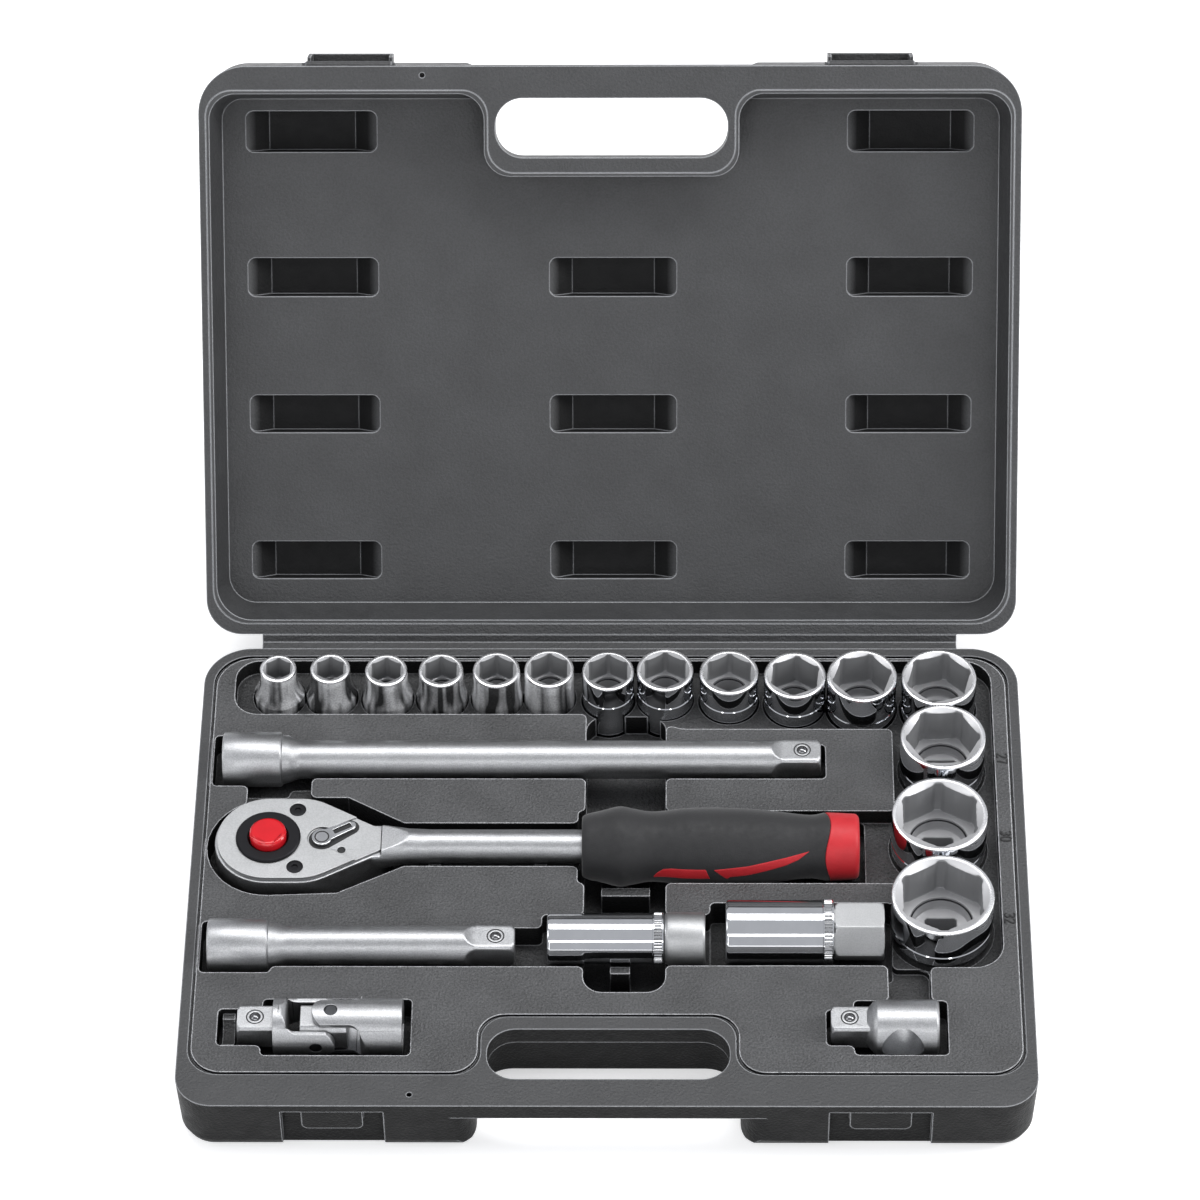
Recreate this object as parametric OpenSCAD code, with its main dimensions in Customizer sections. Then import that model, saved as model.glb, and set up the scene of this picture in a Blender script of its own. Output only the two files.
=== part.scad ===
// Socket wrench set in a hinged carrying case.
// Millimetres. X runs along the hinge, Y from the handle (front) to the hinge (back), Z up.
// The origin is the centre of the base's underside. The lid stands open.

/* [Case] */
// Width of the case, side to side
case_w = 345; // [345:1:352]
// Depth of the case, handle to hinge
case_d = 243; // [243:1:250]
// Height of the base, underside to rim
base_h = 30; // [30:0.5:34]
// Depth of the lid, rim to outer face
lid_h = 29.5; // [29:0.5:34]
// Angle between the closed lid and the open lid, degrees
lid_open = 126.2; // [100:0.1:135]
// Depth of the lid's inner panel below its rim
panel_depth = 17.8; // [17:0.1:20]
// Thickness of the case's outer walls
shell_wall = 2; // [1.6:0.1:2.4]
// Thickness of the tray's and the panel's walls
tray_wall = 1.6; // [1.2:0.1:1.6]

/* [Handle] */
// Length of the hand opening
handle_l = 97.4; // [90:0.5:100]
// Depth of the hand opening, front to back
handle_gap = 25; // [22:0.5:26]
// Thickness of the grip bar in each half
handle_t = 8.6; // [7:0.1:10]

/* [Latches] */
// Width of each latch
latch_w = 36; // [34:0.5:36]
// Distance of each latch from the middle of the case
latch_x = 109.5; // [108:0.5:112]
// Thickness of the latch plate
latch_t = 2.2; // [1.8:0.1:2.2]

/* [Square drive] */
// Across the flats of the square holes
drive_hole = 12.9; // [12.8:0.05:13]
// Across the flats of the square ends
drive_end = 12.6; // [12.5:0.05:12.7]
// Diameter of the detent balls
ball_d = 4.8; // [4:0.1:5]
// How far the detent balls stand proud
ball_proud = 0.9; // [0.7:0.1:1]
// Height of the lying tools' axes above the underside
axis_z = 30.5; // [30.3:0.1:30.8]

/* [Extension bars] */
// Length of the long bar
long_l = 250; // [248:1:250]
// Length of the short bar
short_l = 125; // [123:1:125]
// Diameter of the bars
bar_d = 16; // [15:0.5:16]

/* [Ratchet] */
// Radius of the round head
head_r = 22.2; // [21.8:0.1:22.4]
// Diameter of the shank
shank_d = 14; // [13:0.5:14.5]
// Number of teeth on the drive gear
gear_teeth = 36; // [24:12:48]

/* [Universal joint] */
// Outer diameter of the yokes
yoke_d = 22.5; // [22:0.1:22.5]
// Radius of the pins
pin_r = 2.6; // [2.4:0.1:2.7]

/* [Hidden] */
// Round shapes
$fn = 64;
// Small overlap for clean cuts
eps = 0.01;
// Gap between the two rims when the case is shut
rim_gap = 0.2;

// Sockets: [size, x, y, mouth diameter, drive end diameter, length, turn of the hexagon]
SOCKETS = [
    [10, -140.5, 100.8, 15.5, 21.5, 38, 90],
    [11, -118.5, 100.8, 17, 21.5, 38, 90],
    [12, -94.8, 99.8, 18, 21.5, 38, 90],
    [13, -71.6, 99.8, 19, 21.5, 38, 90],
    [14, -48.2, 100, 20, 21.5, 38, 90],
    [15, -25.9, 100.5, 21, 21.5, 38, 90],
    [16, -1, 99.3, 22, 22, 38, 90],
    [17, 23.1, 100, 24, 23.5, 38, 90],
    [18, 50.1, 98.6, 25, 24.8, 38, 88],
    [19, 77.9, 97, 26.2, 26, 38, 84],
    [22, 106.1, 95, 29.4, 26.5, 40, 72],
    [24, 138.4, 94, 31.5, 28, 40, 76],
    [27, 139, 59.5, 35.5, 29, 42, 2],
    [30, 136.4, 17.5, 39.5, 31, 42, 90],
    [32, 136.3, -26, 42, 32, 43, 90]
];
seat_z = 3;
socket_names = [for (s = SOCKETS) str("socket_", s[0])];

// Case outline
front_r = 15;
back_r = 20;
edge_round = 6;
wall_draft = 1.2;
flange_t = 4.4;
rim_side = 4.3;
rim_front = 15.7;
groove_w = 1.2;
groove_d = 1.6;

// Hand opening and the recess around it
handle_x = 0.7;
handle_bar = 13.6;
handle_y = -case_d / 2 + handle_bar;
handle_pad = 4.4;
hand_r = 11.5;
notch_r = 11;

// Moulding vent, a small blind hole in each half's front rim
vent_x = -78.5;
vent_r = 1.1;
vent_depth = 2.6;

// Hinge
hinge_back = 3.54;
hinge_y = case_d / 2 + hinge_back;
hinge_w = 296;
web_t = 0.9;

// Latch pivots, measured in the lid: from the back rim edge and from the rim
pivot_t = case_d - 0.4;
pivot_n = 5.4;
latch_recess = 4.5;
latch_recess_w = latch_w + 0.8;
keeper_w = 24.6;
keeper_h = 11.4;
latch_l = 23.2;

// ---------- Shared shapes ----------

// Rounded rectangle between two corners, with one radius at the front and one at the back
module rounded_area(x0, x1, y0, y1, rf, rb) {
    translate([x0 + rf, y0]) square([x1 - x0 - 2 * rf, y1 - y0 - rb]);
    translate([x0 + rb, y0 + rf]) square([x1 - x0 - 2 * rb, y1 - y0 - rf]);
    translate([x0, y0 + rf]) square([x1 - x0, y1 - y0 - rf - rb]);
    for (x = [x0 + rf, x1 - rf]) translate([x, y0 + rf]) circle(rf);
    for (x = [x0 + rb, x1 - rb]) translate([x, y1 - rb]) circle(rb);
}

module area(x0, x1, y0, y1, r = 3) {
    rounded_area(x0, x1, y0, y1, r, r);
}

// The case outline moved inwards by inset
module case_outline(inset = 0) {
    rounded_area(-case_w / 2 + inset, case_w / 2 - inset, -case_d / 2 + inset, case_d / 2 - inset,
                 front_r - min(inset, front_r - 4), back_r - min(inset, back_r - 4));
}

module slab(z, t = 0.01) {
    translate([0, 0, z]) linear_extrude(t) children();
}

// Solid with the case outline, drafted walls and a rounded lower edge, z = 0 to h
module case_solid(h, inset, bottom) {
    low = wall_draft + inset;
    hull() {
        slab(h - eps) case_outline(inset);
        slab(bottom + edge_round) case_outline(low);
        slab(bottom + edge_round * 0.3) case_outline(low + edge_round * 0.3);
        slab(bottom) case_outline(low + edge_round);
    }
}

// Turns a shape modelled along +Z so that it lies along +X at [x, y, z]
module lying(x, y, z) {
    translate([x, y, z]) rotate([0, 90, 0]) children();
}

module square_prism(w, z, h) {
    translate([-w / 2, -w / 2, z]) cube([w, w, h]);
}

// Ball that presses out of a square end whose face is half a drive_end above the axis
ball_c = drive_end / 2 + ball_proud - ball_d / 2;
ball_hole_r = ball_d / 2 + 0.08;
ball_hole_low = -1.6;

module detent_hole() {
    translate([0, 0, ball_hole_low]) cylinder(r = ball_hole_r, h = drive_end);
}

module detent_ball() {
    color("#b8b8ba") translate([0, 0, ball_c]) sphere(d = ball_d);
}

module detent_spring() {
    color("#8c8c90") translate([0, 0, ball_hole_low + 0.05]) difference() {
        cylinder(r = ball_d / 2 - 0.3, h = ball_c - ball_d / 2 - ball_hole_low - 0.1);
        translate([0, 0, -eps]) cylinder(r = ball_d / 2 - 0.9, h = drive_end);
    }
}

// Male square along +Z from z = 0, with its corners turned down and a groove behind the tip
module male_square(l) {
    intersection() {
        square_prism(drive_end, 0, l);
        rotate_extrude() polygon([
            [0, -1], [drive_end * 0.655, -1], [drive_end * 0.655, l - 1.2],
            [drive_end * 0.56, l], [0, l]
        ]);
    }
}

// ---------- Case base ----------

// Notch around the hand opening: rounded at its back corners, flared where it meets the front edge
module handle_notch(half, front, back, r) {
    area(handle_x - half, handle_x + half, -case_d, back, r);
    for (s = [-1, 1]) difference() {
        translate([handle_x + s * (half + r / 2) - r / 2, front - 1]) square([r, r + 1]);
        translate([handle_x + s * (half + r), front + r]) circle(r);
    }
}

// The thin zone around the hand opening, in front of the deep body, grown by g
module handle_zone(g, z0, z1) {
    translate([0, 0, z0]) linear_extrude(z1 - z0)
        handle_notch(handle_l / 2 + handle_pad + g, -case_d / 2, handle_y + handle_gap + 3 + g, 14);
}

module hand_opening(z0, z1) {
    translate([0, 0, z0]) linear_extrude(z1 - z0)
        area(handle_x - handle_l / 2, handle_x + handle_l / 2, handle_y, handle_y + handle_gap, hand_r);
}

module base_shell() {
    color("#3a3b3d") difference() {
        case_solid(base_h, 0, 0);
        // inside, under the rim
        difference() {
            translate([0, 0, shell_wall]) case_solid(base_h - flange_t - shell_wall, shell_wall, 0);
            handle_zone(shell_wall, -1, base_h);
            latch_zones(shell_wall);
        }
        // opening for the tray
        translate([0, 0, base_h - flange_t - 1]) linear_extrude(flange_t + 2) tray_outline(0);
        // thin zone behind the grip bar
        handle_zone(0, -1, base_h - handle_t);
        hand_opening(-1, base_h + 1);
        for (s = [-1, 1]) latch_recess_base(s);
        translate([vent_x, -case_d / 2 + 5.7, base_h - vent_depth]) cylinder(r = vent_r, h = 5, $fn = 24);
    }
}

// Blocks of space behind the latch recesses, drawn for the base's front wall
module latch_zones(g) {
    for (s = [-1, 1]) translate([s * latch_x - 20.5 - g, -case_d / 2 - 1, -1])
        cube([41 + 2 * g, latch_recess + 1 + g, base_h + 2]);
}

// Recess for a latch in the front wall, leaving the keeper block in its middle
module latch_recess_base(s) {
    front = -case_d / 2;
    difference() {
        translate([s * latch_x - 20.5, front - 1, -1]) cube([41, latch_recess + 1, base_h - flange_t + 1]);
        translate([s * latch_x, front + 0.4, base_h - flange_t - keeper_h]) {
            translate([-keeper_w / 2, 0, 3]) cube([keeper_w, latch_recess + 1, keeper_h]);
            translate([-keeper_w / 2 + 3, 0, 0]) cube([keeper_w - 6, latch_recess + 1, keeper_h]);
            for (x = [-1, 1]) translate([x * (keeper_w / 2 - 3), 0, 3])
                rotate([-90, 0, 0]) cylinder(r = 3, h = latch_recess + 1);
        }
    }
}

// Edge of the tool tray, with the notch around the hand opening
module tray_outline(inset) {
    difference() {
        rounded_area(-case_w / 2 + rim_side + inset, case_w / 2 - rim_side - inset,
                     -case_d / 2 + rim_front + inset, case_d / 2 - rim_side - inset,
                     front_r - rim_side + 2, back_r - rim_side);
        handle_notch(51.3 + inset, -case_d / 2 + rim_front + inset, -76.5 + inset, notch_r);
    }
}

// ---------- Tool tray ----------

// Y of the lying tools
long_y = 59;
ratchet_y = 11.9;
short_y = -40.4;
plug16_y = -36.7;
plug21_y = -33;
joint_y = -82;
adaptor_y = -82;

// X where the tools' left ends lie
long_x = -161.8;
short_x = -162.8;
plug16_x = -24.6;
plug21_x = 48.1;
joint_x = -113.7;
adaptor_x = 90;
head_x = -140.6;
grip_x = -11;

// Floors of the tray, highest first
ledge_z = 22;
pocket_z = 18.6;
deep_z = 16.6;
grip_z = 13.6;
channel_z = 11;
head_pocket_r = 25.6;

// Everything that is open at the ledge's height
module ledge_area() {
    area(-159, 130, 84.6, 114.4, 10);
    area(20, 161, 76.4, 114.4, 12);
    area(118.6, 161, -51, 114.4, 12);
    area(-151, -124.4, 20, 60, 4);
    area(100, 130, -7.2, 31.5, 4);
    pocket_area();
}

module pocket_area() {
    // long bar
    area(-166, -134, long_y - 14, long_y + 13.5, 2);
    area(-140, 90.3, long_y - 10, long_y + 8.6, 2);
    // shank and head
    head_area();
    // short bar
    area(-166, -137, short_y - 13.6, short_y + 12.9, 2);
    area(-140, -8, short_y - 10.4, short_y + 9.6, 2);
    // spark plug sockets
    area(-27, 60, plug16_y - 13.6, plug16_y + 12.8, 2);
    // universal joint
    area(-156.9, -120, joint_y - 9.2, joint_y + 9.2, 2);
    area(-139, -78.8, joint_y - 14.2, joint_y + 14.2, 2);
    // cross-hole adaptor
    area(88.3, 110, adaptor_y - 9, adaptor_y + 9, 2);
    area(99.5, 137.2, adaptor_y - 13.7, adaptor_y + 13.7, 2);
    area(113.7, 131, -72, -46, 4);
    deep_area();
}

// Round ratchet head, its taper and the shank
module head_area() {
    polygon([
        [head_x, ratchet_y + head_pocket_r], [-121.4, 38.6], [-108.7, 38.6], [-85, 24.8], [-10, 24.8],
        [-10, 1.8], [-84.4, 1.8], [-111.7, -12.5], [head_x, ratchet_y - head_pocket_r]
    ]);
}

module deep_area() {
    translate([head_x, ratchet_y]) circle(head_pocket_r);
    polygon([
        [head_x, ratchet_y + 24], [-118, ratchet_y + 22.6], [-96, ratchet_y + 13], [-89, ratchet_y + 9],
        [-89, ratchet_y - 9], [-96, ratchet_y - 13], [-118, ratchet_y - 22.6], [head_x, ratchet_y - 24]
    ]);
    area(41.8, 116, plug21_y - 17.2, plug21_y + 15.4, 2);
    grip_area();
}

module grip_area() {
    area(-12.8, 106, -7.2, 31.5, 2);
    channel_area();
}

// Finger channel across the middle
module channel_area() {
    area(-10, 23.5, -64, 90, 8);
}

// Rounds the corners that stand into an open area, and keeps its own corners
module eased(r = 2.5) {
    offset(r = -r, $fn = 32) offset(delta = r) children();
}

// One open level of the tray: wall and floor outside, space inside
module level_wall(z) {
    translate([0, 0, z - tray_wall]) linear_extrude(base_h - z + tray_wall - 1)
        offset(delta = tray_wall) eased() children();
}

module level_space(z) {
    translate([0, 0, z]) linear_extrude(base_h - z + 1) eased() children();
}

// Seat of one socket: its drive end and, below its shoulder, its wider mouth part
function shoulder_z(s) = seat_z + s[5] - 24;

module seat(s, g, z0, z1) {
    step = shoulder_z(s) - 1 - g;
    translate([s[1], s[2], 0]) {
        translate([0, 0, z0]) cylinder(d = s[4] + 1.2 + 2 * g, h = z1 - z0);
        if (s[3] > s[4] + 2) translate([0, 0, step]) cylinder(d = s[3] + 1.4 + 2 * g, h = z1 - step);
    }
}

anvil_hole_r = 11.5;

module anvil_well(g, z0) {
    translate([head_x, ratchet_y, z0]) cylinder(r = anvil_hole_r + g, h = deep_z + 2 - z0);
}

// Saddle that carries a bar of radius r at [x, y]
module saddle(x, y, r, z0, w = 5) {
    difference() {
        translate([x - w / 2, y - r - 2.5, z0 - 0.5]) cube([w, 2 * r + 5, axis_z - z0 - r * 0.45]);
        lying(x - w, y, axis_z) cylinder(r = r + 0.35, h = 2 * w);
    }
}

module tool_tray() {
    color("#3f4042") {
        difference() {
            union() {
                translate([0, 0, base_h - 2.6]) linear_extrude(2.6 - groove_d) tray_outline(0);
                translate([0, 0, base_h - 2.6]) linear_extrude(2.6) tray_outline(groove_w);
                intersection() {
                    union() {
                        level_wall(ledge_z) ledge_area();
                        level_wall(pocket_z) pocket_area();
                        level_wall(deep_z) deep_area();
                        level_wall(grip_z) grip_area();
                        level_wall(channel_z) channel_area();
                        for (s = SOCKETS) seat(s, 1, 2.05, base_h - 2);
                        anvil_well(1, 2.05);
                    }
                    linear_extrude(base_h) tray_outline(0.1);
                }
            }
            level_space(ledge_z) ledge_area();
            level_space(pocket_z) pocket_area();
            level_space(deep_z) deep_area();
            level_space(grip_z) grip_area();
            level_space(channel_z) channel_area();
            for (s = SOCKETS) seat(s, 0, seat_z - 0.05, base_h + 1);
            anvil_well(0, 3);
        }
        for (x = [-105, -45, 60]) saddle(x, long_y, bar_d / 2, pocket_z);
        for (x = [-115, -70]) saddle(x, short_y, bar_d / 2, pocket_z);
        for (x = [-72, -28]) saddle(x, ratchet_y, shank_d / 2, pocket_z);
        saddle(-152.6, joint_y, 7, pocket_z);
        saddle(7, ratchet_y, 17.2, channel_z, 20);
        saddle(5, plug16_y, 11.4, channel_z, 8);
    }
}

// ---------- Lid ----------

// Places a shape modelled on the lid: +Y from the back rim edge, +Z towards the inside
module on_lid() {
    translate([0, hinge_y, base_h]) rotate([180 - lid_open, 0, 0]) translate([0, hinge_back, 0]) children();
}

// Puts a shape of the closed upper half, drawn like the base, into lid coordinates
module as_lid() {
    translate([0, case_d / 2, -lid_h]) children();
}

lid_rim_side = 4.5;
lid_rim_back = 6.2;
lid_rim_front = 11.7;
panel_slope = 4;

module lid_recess(g) {
    y0 = lid_rim_back - g;
    y1 = case_d - lid_rim_front + g;
    x1 = case_w / 2 - lid_rim_side + g;
    difference() {
        hull() {
            slab(-eps) rounded_area(-x1, x1, y0, y1, back_r - 5, front_r - 4);
            slab(-panel_depth - g) rounded_area(-x1 + panel_slope, x1 - panel_slope,
                                                y0 + panel_slope, y1 - panel_slope, back_r - 8, front_r - 6);
        }
        as_lid() mirror([0, 1, 0]) linear_extrude(lid_h + 1)
            handle_notch(53.5 - g, -case_d / 2 + lid_rim_front - g, -case_d / 2 + 46.6 - g, notch_r);
    }
}

module lid_shell() {
    top = -lid_h;
    color("#3a3b3d") on_lid() difference() {
        as_lid() case_solid(lid_h - rim_gap, 0, 0);
        // inside, between the outer wall and the panel
        difference() {
            as_lid() translate([0, 0, shell_wall])
                case_solid(lid_h - flange_t - shell_wall, shell_wall, 0);
            as_lid() handle_zone_lid(shell_wall, -1, lid_h);
            as_lid() mirror([0, 1, 0]) latch_zones(shell_wall);
        }
        lid_recess(tray_wall);
        as_lid() handle_zone_lid(0, -1, lid_h - handle_t);
        translate([0, case_d / 2, 0]) mirror([0, 1, 0]) hand_opening(top - 1, 1);
        for (s = [-1, 1]) latch_recess_lid(s);
        translate([vent_x, case_d - 3.9, -vent_depth]) cylinder(r = vent_r, h = 5, $fn = 24);
    }
}

// The thin zone of the lid, mirrored so that it meets the base's
module handle_zone_lid(g, z0, z1) {
    mirror([0, 1, 0]) handle_zone(g, z0, z1);
}

lid_flange = 3;

module latch_recess_lid(s) {
    w = latch_recess_w;
    translate([s * latch_x - w / 2, case_d - latch_recess, -lid_h - 1])
        cube([w, latch_recess + 1, lid_h + 1 - lid_flange]);
    // sockets for the latch's stub pins
    translate([s * latch_x - w / 2 - 1.6, pivot_t, -pivot_n]) rotate([0, 90, 0])
        cylinder(r = pin_stub_r + 0.1, h = w + 3.2);
}

// Tack-off pits: [x from, x to, y from, y to] on the panel
pit_cols = [[-154, -98.5], [-26, 28], [100, 153.3]];
pit_rows = [[20.7, 37], [84.3, 100.5], [143, 159.5], [204.6, 222]];
pit_depth = 8;
pit_slope = 9.5;
pit_r = 3.4;

module pit(col, row, g) {
    z1 = -panel_depth + (g > 0 ? -eps : eps);
    low = -panel_depth - pit_depth - g;
    intersection() {
        translate([0, row[1] + g, 0]) rotate([90, 0, 0]) linear_extrude(row[1] - row[0] + 2 * g) polygon([
            [col[0] - g, z1], [col[1] + g, z1], [col[1] - pit_slope + g, low], [col[0] + pit_slope - g, low]
        ]);
        translate([0, 0, low - 1]) linear_extrude(pit_depth + g + 3)
            area(col[0] - g, col[1] + g, row[0] - g, row[1] + g, pit_r + g);
    }
}

module pits(g) {
    for (c = [0, 1, 2]) for (r = [0, 1, 2, 3])
        if (c != 1 || r != 3) pit(pit_cols[c], pit_rows[r], g);
}

module lid_panel() {
    color("#3f4042") on_lid() difference() {
        union() {
            intersection() {
                lid_recess(tray_wall - 0.05);
                translate([-case_w, 0, -lid_h]) cube([2 * case_w, case_d, lid_h - rim_gap]);
            }
            intersection() {
                pits(tray_wall - 0.1);
                translate([-case_w, 0, -lid_h]) cube([2 * case_w, case_d, lid_h]);
            }
        }
        lid_recess(0);
        pits(0);
    }
}

// Thin web that joins the two rims
module living_hinge() {
    u = [cos(180 - lid_open), sin(180 - lid_open)];
    a = [case_d / 2 + 0.02, base_h - rim_gap];
    b = [hinge_y + (hinge_back - 0.1) * u[0], base_h + (hinge_back - 0.1) * u[1]];
    sag = [(a[0] + b[0]) / 2 + 1.2, (a[1] + b[1]) / 2 - 1.6];
    color("#55565a") translate([-hinge_w / 2 - 0.8, 0, 0]) rotate([90, 0, 90])
        linear_extrude(hinge_w) polygon([
        a, sag, b, [b[0] + web_t * u[1], b[1] - web_t * u[0]],
        [sag[0] + 0.9, sag[1] - 0.8], [a[0], a[1] - web_t - 0.4]
    ]);
}

// ---------- Latches ----------

pin_stub_r = 1.3;
knuckle_r = 1.9;
plate_a = 1.1;

// Drawn shut, about its pivot: +Y outwards, +Z from the lid towards the base
module latch_shape() {
    w = latch_w;
    // knuckle with a stub pin at each end
    translate([-w / 2, 0, 0]) rotate([0, 90, 0]) cylinder(r = knuckle_r, h = w);
    translate([-w / 2 - 1.3, 0, 0]) rotate([0, 90, 0]) cylinder(r = pin_stub_r, h = w + 2.6);
    translate([-w / 2, 0, -knuckle_r]) cube([w, plate_a + latch_t, 2 * knuckle_r - 0.2]);
    translate([-w / 2, plate_a, -knuckle_r]) cube([w, latch_t, latch_l + knuckle_r]);
    // side walls and hooked lip
    for (x = [-w / 2, w / 2 - 1.6]) translate([x, -2.6, 10.4]) cube([1.6, 2.6 + plate_a + 0.5, latch_l - 10.4]);
    translate([-w / 2, -2.6, latch_l - 1.5]) cube([w, 2.6 + plate_a + 0.5, 1.5]);
}

// At rest each latch is swung right back against the lid's front wall
module latch(s) {
    color("#3a3b3d") on_lid() translate([s * latch_x, pivot_t, -pivot_n]) rotate([180, 0, 0]) latch_shape();
}

module latch_left() {
    latch(-1);
}

module latch_right() {
    latch(1);
}

// ---------- Sockets ----------

// Outline of a socket: drive end below, mouth above
function flare(r0, r1, z0, z1, n) =
    [for (i = [1:n]) [r1 + (r0 - r1) * pow(1 - i / n, 2.2), z0 + (z1 - z0) * i / n]];

module socket_outline(s) {
    mouth_r = s[3] / 2;
    drive_r = s[4] / 2;
    h = s[5];
    low = [[0, 0], [drive_r - 0.8, 0], [drive_r, 0.8]];
    top = [[mouth_r, h - 0.9], [mouth_r - 0.9, h], [0, h]];
    // narrow mouth: flares out to the drive end; wide mouth: steps in to it
    middle = mouth_r < drive_r
        ? concat([[drive_r, h - 15]], flare(drive_r, mouth_r, h - 15, h - 5, 6))
        : [[drive_r, h - 24], [mouth_r, h - 24 + (mouth_r - drive_r) * 0.6 + 0.2]];
    polygon(concat(low, middle, top));
}

module socket(s) {
    hex_depth = s[0] < 19 ? 12 : s[5] * 0.42;
    hex_r = (s[0] + 0.2) / sqrt(3);
    bore_r = max(s[0] * 0.385, 4);
    // floor with the square hole: higher in the larger sockets
    floor_z = s[0] < 22 ? 14 : s[5] - hex_depth - 5.5;
    color("#c4c6c9") difference() {
        rotate_extrude() socket_outline(s);
        rotate([0, 0, s[6]]) {
            translate([0, 0, s[5] - hex_depth]) cylinder(r = hex_r, h = hex_depth + 1, $fn = 6);
            // relieved corners
            for (a = [0:60:300]) rotate([0, 0, a]) translate([hex_r * 0.93, 0, s[5] - hex_depth])
                cylinder(r = hex_r * 0.09, h = hex_depth + 1);
        }
        // lead-in at the mouth
        translate([0, 0, s[5] - 1]) rotate_extrude() polygon([
            [0, 0], [s[0] / 2 + 0.1, 0], [s[0] / 2 + 1.3, 1.1], [0, 1.1]
        ]);
        translate([0, 0, floor_z]) cylinder(r = bore_r, h = s[5] - hex_depth - floor_z + 1);
        square_prism(drive_hole, -1, floor_z + 2);
    }
}

module placed_socket(s) {
    translate([s[1], s[2], seat_z]) socket(s);
}

// Spark plug sockets: drive end at z = 0, mouth at the far end
plug_l = 64.4;

module plug_socket_shape(size, mouth_r, drive_r, collar_l, hexed) {
    difference() {
        union() {
            translate([0, 0, collar_l]) rotate_extrude() polygon([
                [0, 0], [mouth_r, 0], [mouth_r, plug_l - collar_l - 0.8],
                [mouth_r - 0.8, plug_l - collar_l], [0, plug_l - collar_l]
            ]);
            if (hexed) cylinder(r = drive_r, h = collar_l, $fn = 6);
            else cylinder(r = drive_r, h = collar_l);
            if (hexed) translate([0, 0, collar_l]) cylinder(r = mouth_r + 0.25, h = 4.5);
            else translate([0, 0, collar_l - eps]) cylinder(r = drive_r, h = 4.5);
        }
        square_prism(drive_hole, -1, 17);
        translate([0, 0, 15]) cylinder(r = size * 0.44, h = plug_l);
        translate([0, 0, plug_l - 20]) cylinder(r = (size + 0.2) / sqrt(3), h = 21, $fn = 6);
        if (!hexed) translate([0, 0, 8]) rotate([-90, 0, 0]) cylinder(r = 1.6, h = drive_r + 1);
    }
}

module plug_insert_shape(size) {
    translate([0, 0, plug_l - 33]) difference() {
        cylinder(r = size * 0.44 - 0.05, h = 12.5);
        translate([0, 0, -1]) cylinder(r = size * 0.29, h = 15);
    }
}

// Lies along -X: its drive end is on the right
module lying_plug(x, y) {
    translate([x + plug_l, y, axis_z]) rotate([0, -90, 0]) rotate([0, 0, 90]) children();
}

module plug_socket_16() {
    color("#c4c6c9") lying_plug(plug16_x, plug16_y) plug_socket_shape(16, 10.4, 10.8, 17, false);
}

module plug_insert_16() {
    color("#1c1c1e") lying_plug(plug16_x, plug16_y) plug_insert_shape(16);
}

module plug_socket_21() {
    color("#c4c6c9") lying_plug(plug21_x, plug21_y) plug_socket_shape(21, 13, 12.6, 20.5, true);
}

module plug_insert_21() {
    color("#1c1c1e") lying_plug(plug21_x, plug21_y) plug_insert_shape(21);
}

// ---------- Extension bars ----------

female_l = 25;
male_l = 15.5;
drive_depth = 16;

module extension_shape(l, female_d) {
    r = bar_d / 2;
    difference() {
        union() {
            rotate_extrude() polygon(concat(
                [[0, 0], [female_d / 2 - 0.8, 0], [female_d / 2, 0.8], [female_d / 2, female_l - 0.8],
                 [female_d / 2 - 0.8, female_l]],
                [for (i = [1:5]) [r + (female_d / 2 - 2 - r) * pow(1 - i / 5, 2), female_l + 1.4 * i]],
                [[r, l - male_l - 3], [drive_end / 2 + 0.2, l - male_l + 1], [0, l - male_l + 1]]
            ));
            translate([0, 0, l - male_l]) male_square(male_l);
        }
        square_prism(drive_hole, -1, drive_depth + 1);
        translate([0, 0, drive_depth - 1]) cylinder(r = 4.5, h = 4);
        translate([0, 0, l - male_l / 2]) up_from_bar() detent_hole();
    }
}

// Turns +Z into the direction that is up once a bar lies along +X
module up_from_bar() {
    rotate([0, -90, 0]) children();
}

module long_place() {
    lying(long_x, long_y, axis_z) children();
}

module short_place() {
    lying(short_x, short_y, axis_z) children();
}

module long_extension() {
    color("#aeb0b3") long_place() extension_shape(long_l, 23);
}

module long_extension_ball() {
    long_place() translate([0, 0, long_l - male_l / 2]) up_from_bar() detent_ball();
}

module long_extension_spring() {
    long_place() translate([0, 0, long_l - male_l / 2]) up_from_bar() detent_spring();
}

module short_extension() {
    color("#aeb0b3") short_place() extension_shape(short_l, 22);
}

module short_extension_ball() {
    short_place() translate([0, 0, short_l - male_l / 2]) up_from_bar() detent_ball();
}

module short_extension_spring() {
    short_place() translate([0, 0, short_l - male_l / 2]) up_from_bar() detent_spring();
}

// ---------- Ratchet ----------

// Heights measured from the shank's axis
head_low = -13.4;
head_top = 3.4;
cover_t = 2;
cover_top = head_top + cover_t;
shoulder_x = 13;
tip_r = 8;
tip_x = 42;
cover_end = 46.5;
gear_r = 13.2;
cavity_r = 13.6;
cavity_low = -11.4;
hub_r = 10.6;
neck_r = 9.3;
well_r = 8.1;
button_r = 7.6;
stem_r = 2.8;
lever_x = 22.2;
lever_turn = 28.8;
lever_shaft_r = 2.4;
fan_depth = 0.9;
fan_r = 6;
fan_half = 28;
pawl_in = 13.9;
screw_at = [11.6, 15.2];
screw_head_r = 3.3;
shank_end = 130.6;

module ratchet_place() {
    translate([head_x, ratchet_y, axis_z]) children();
}

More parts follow.
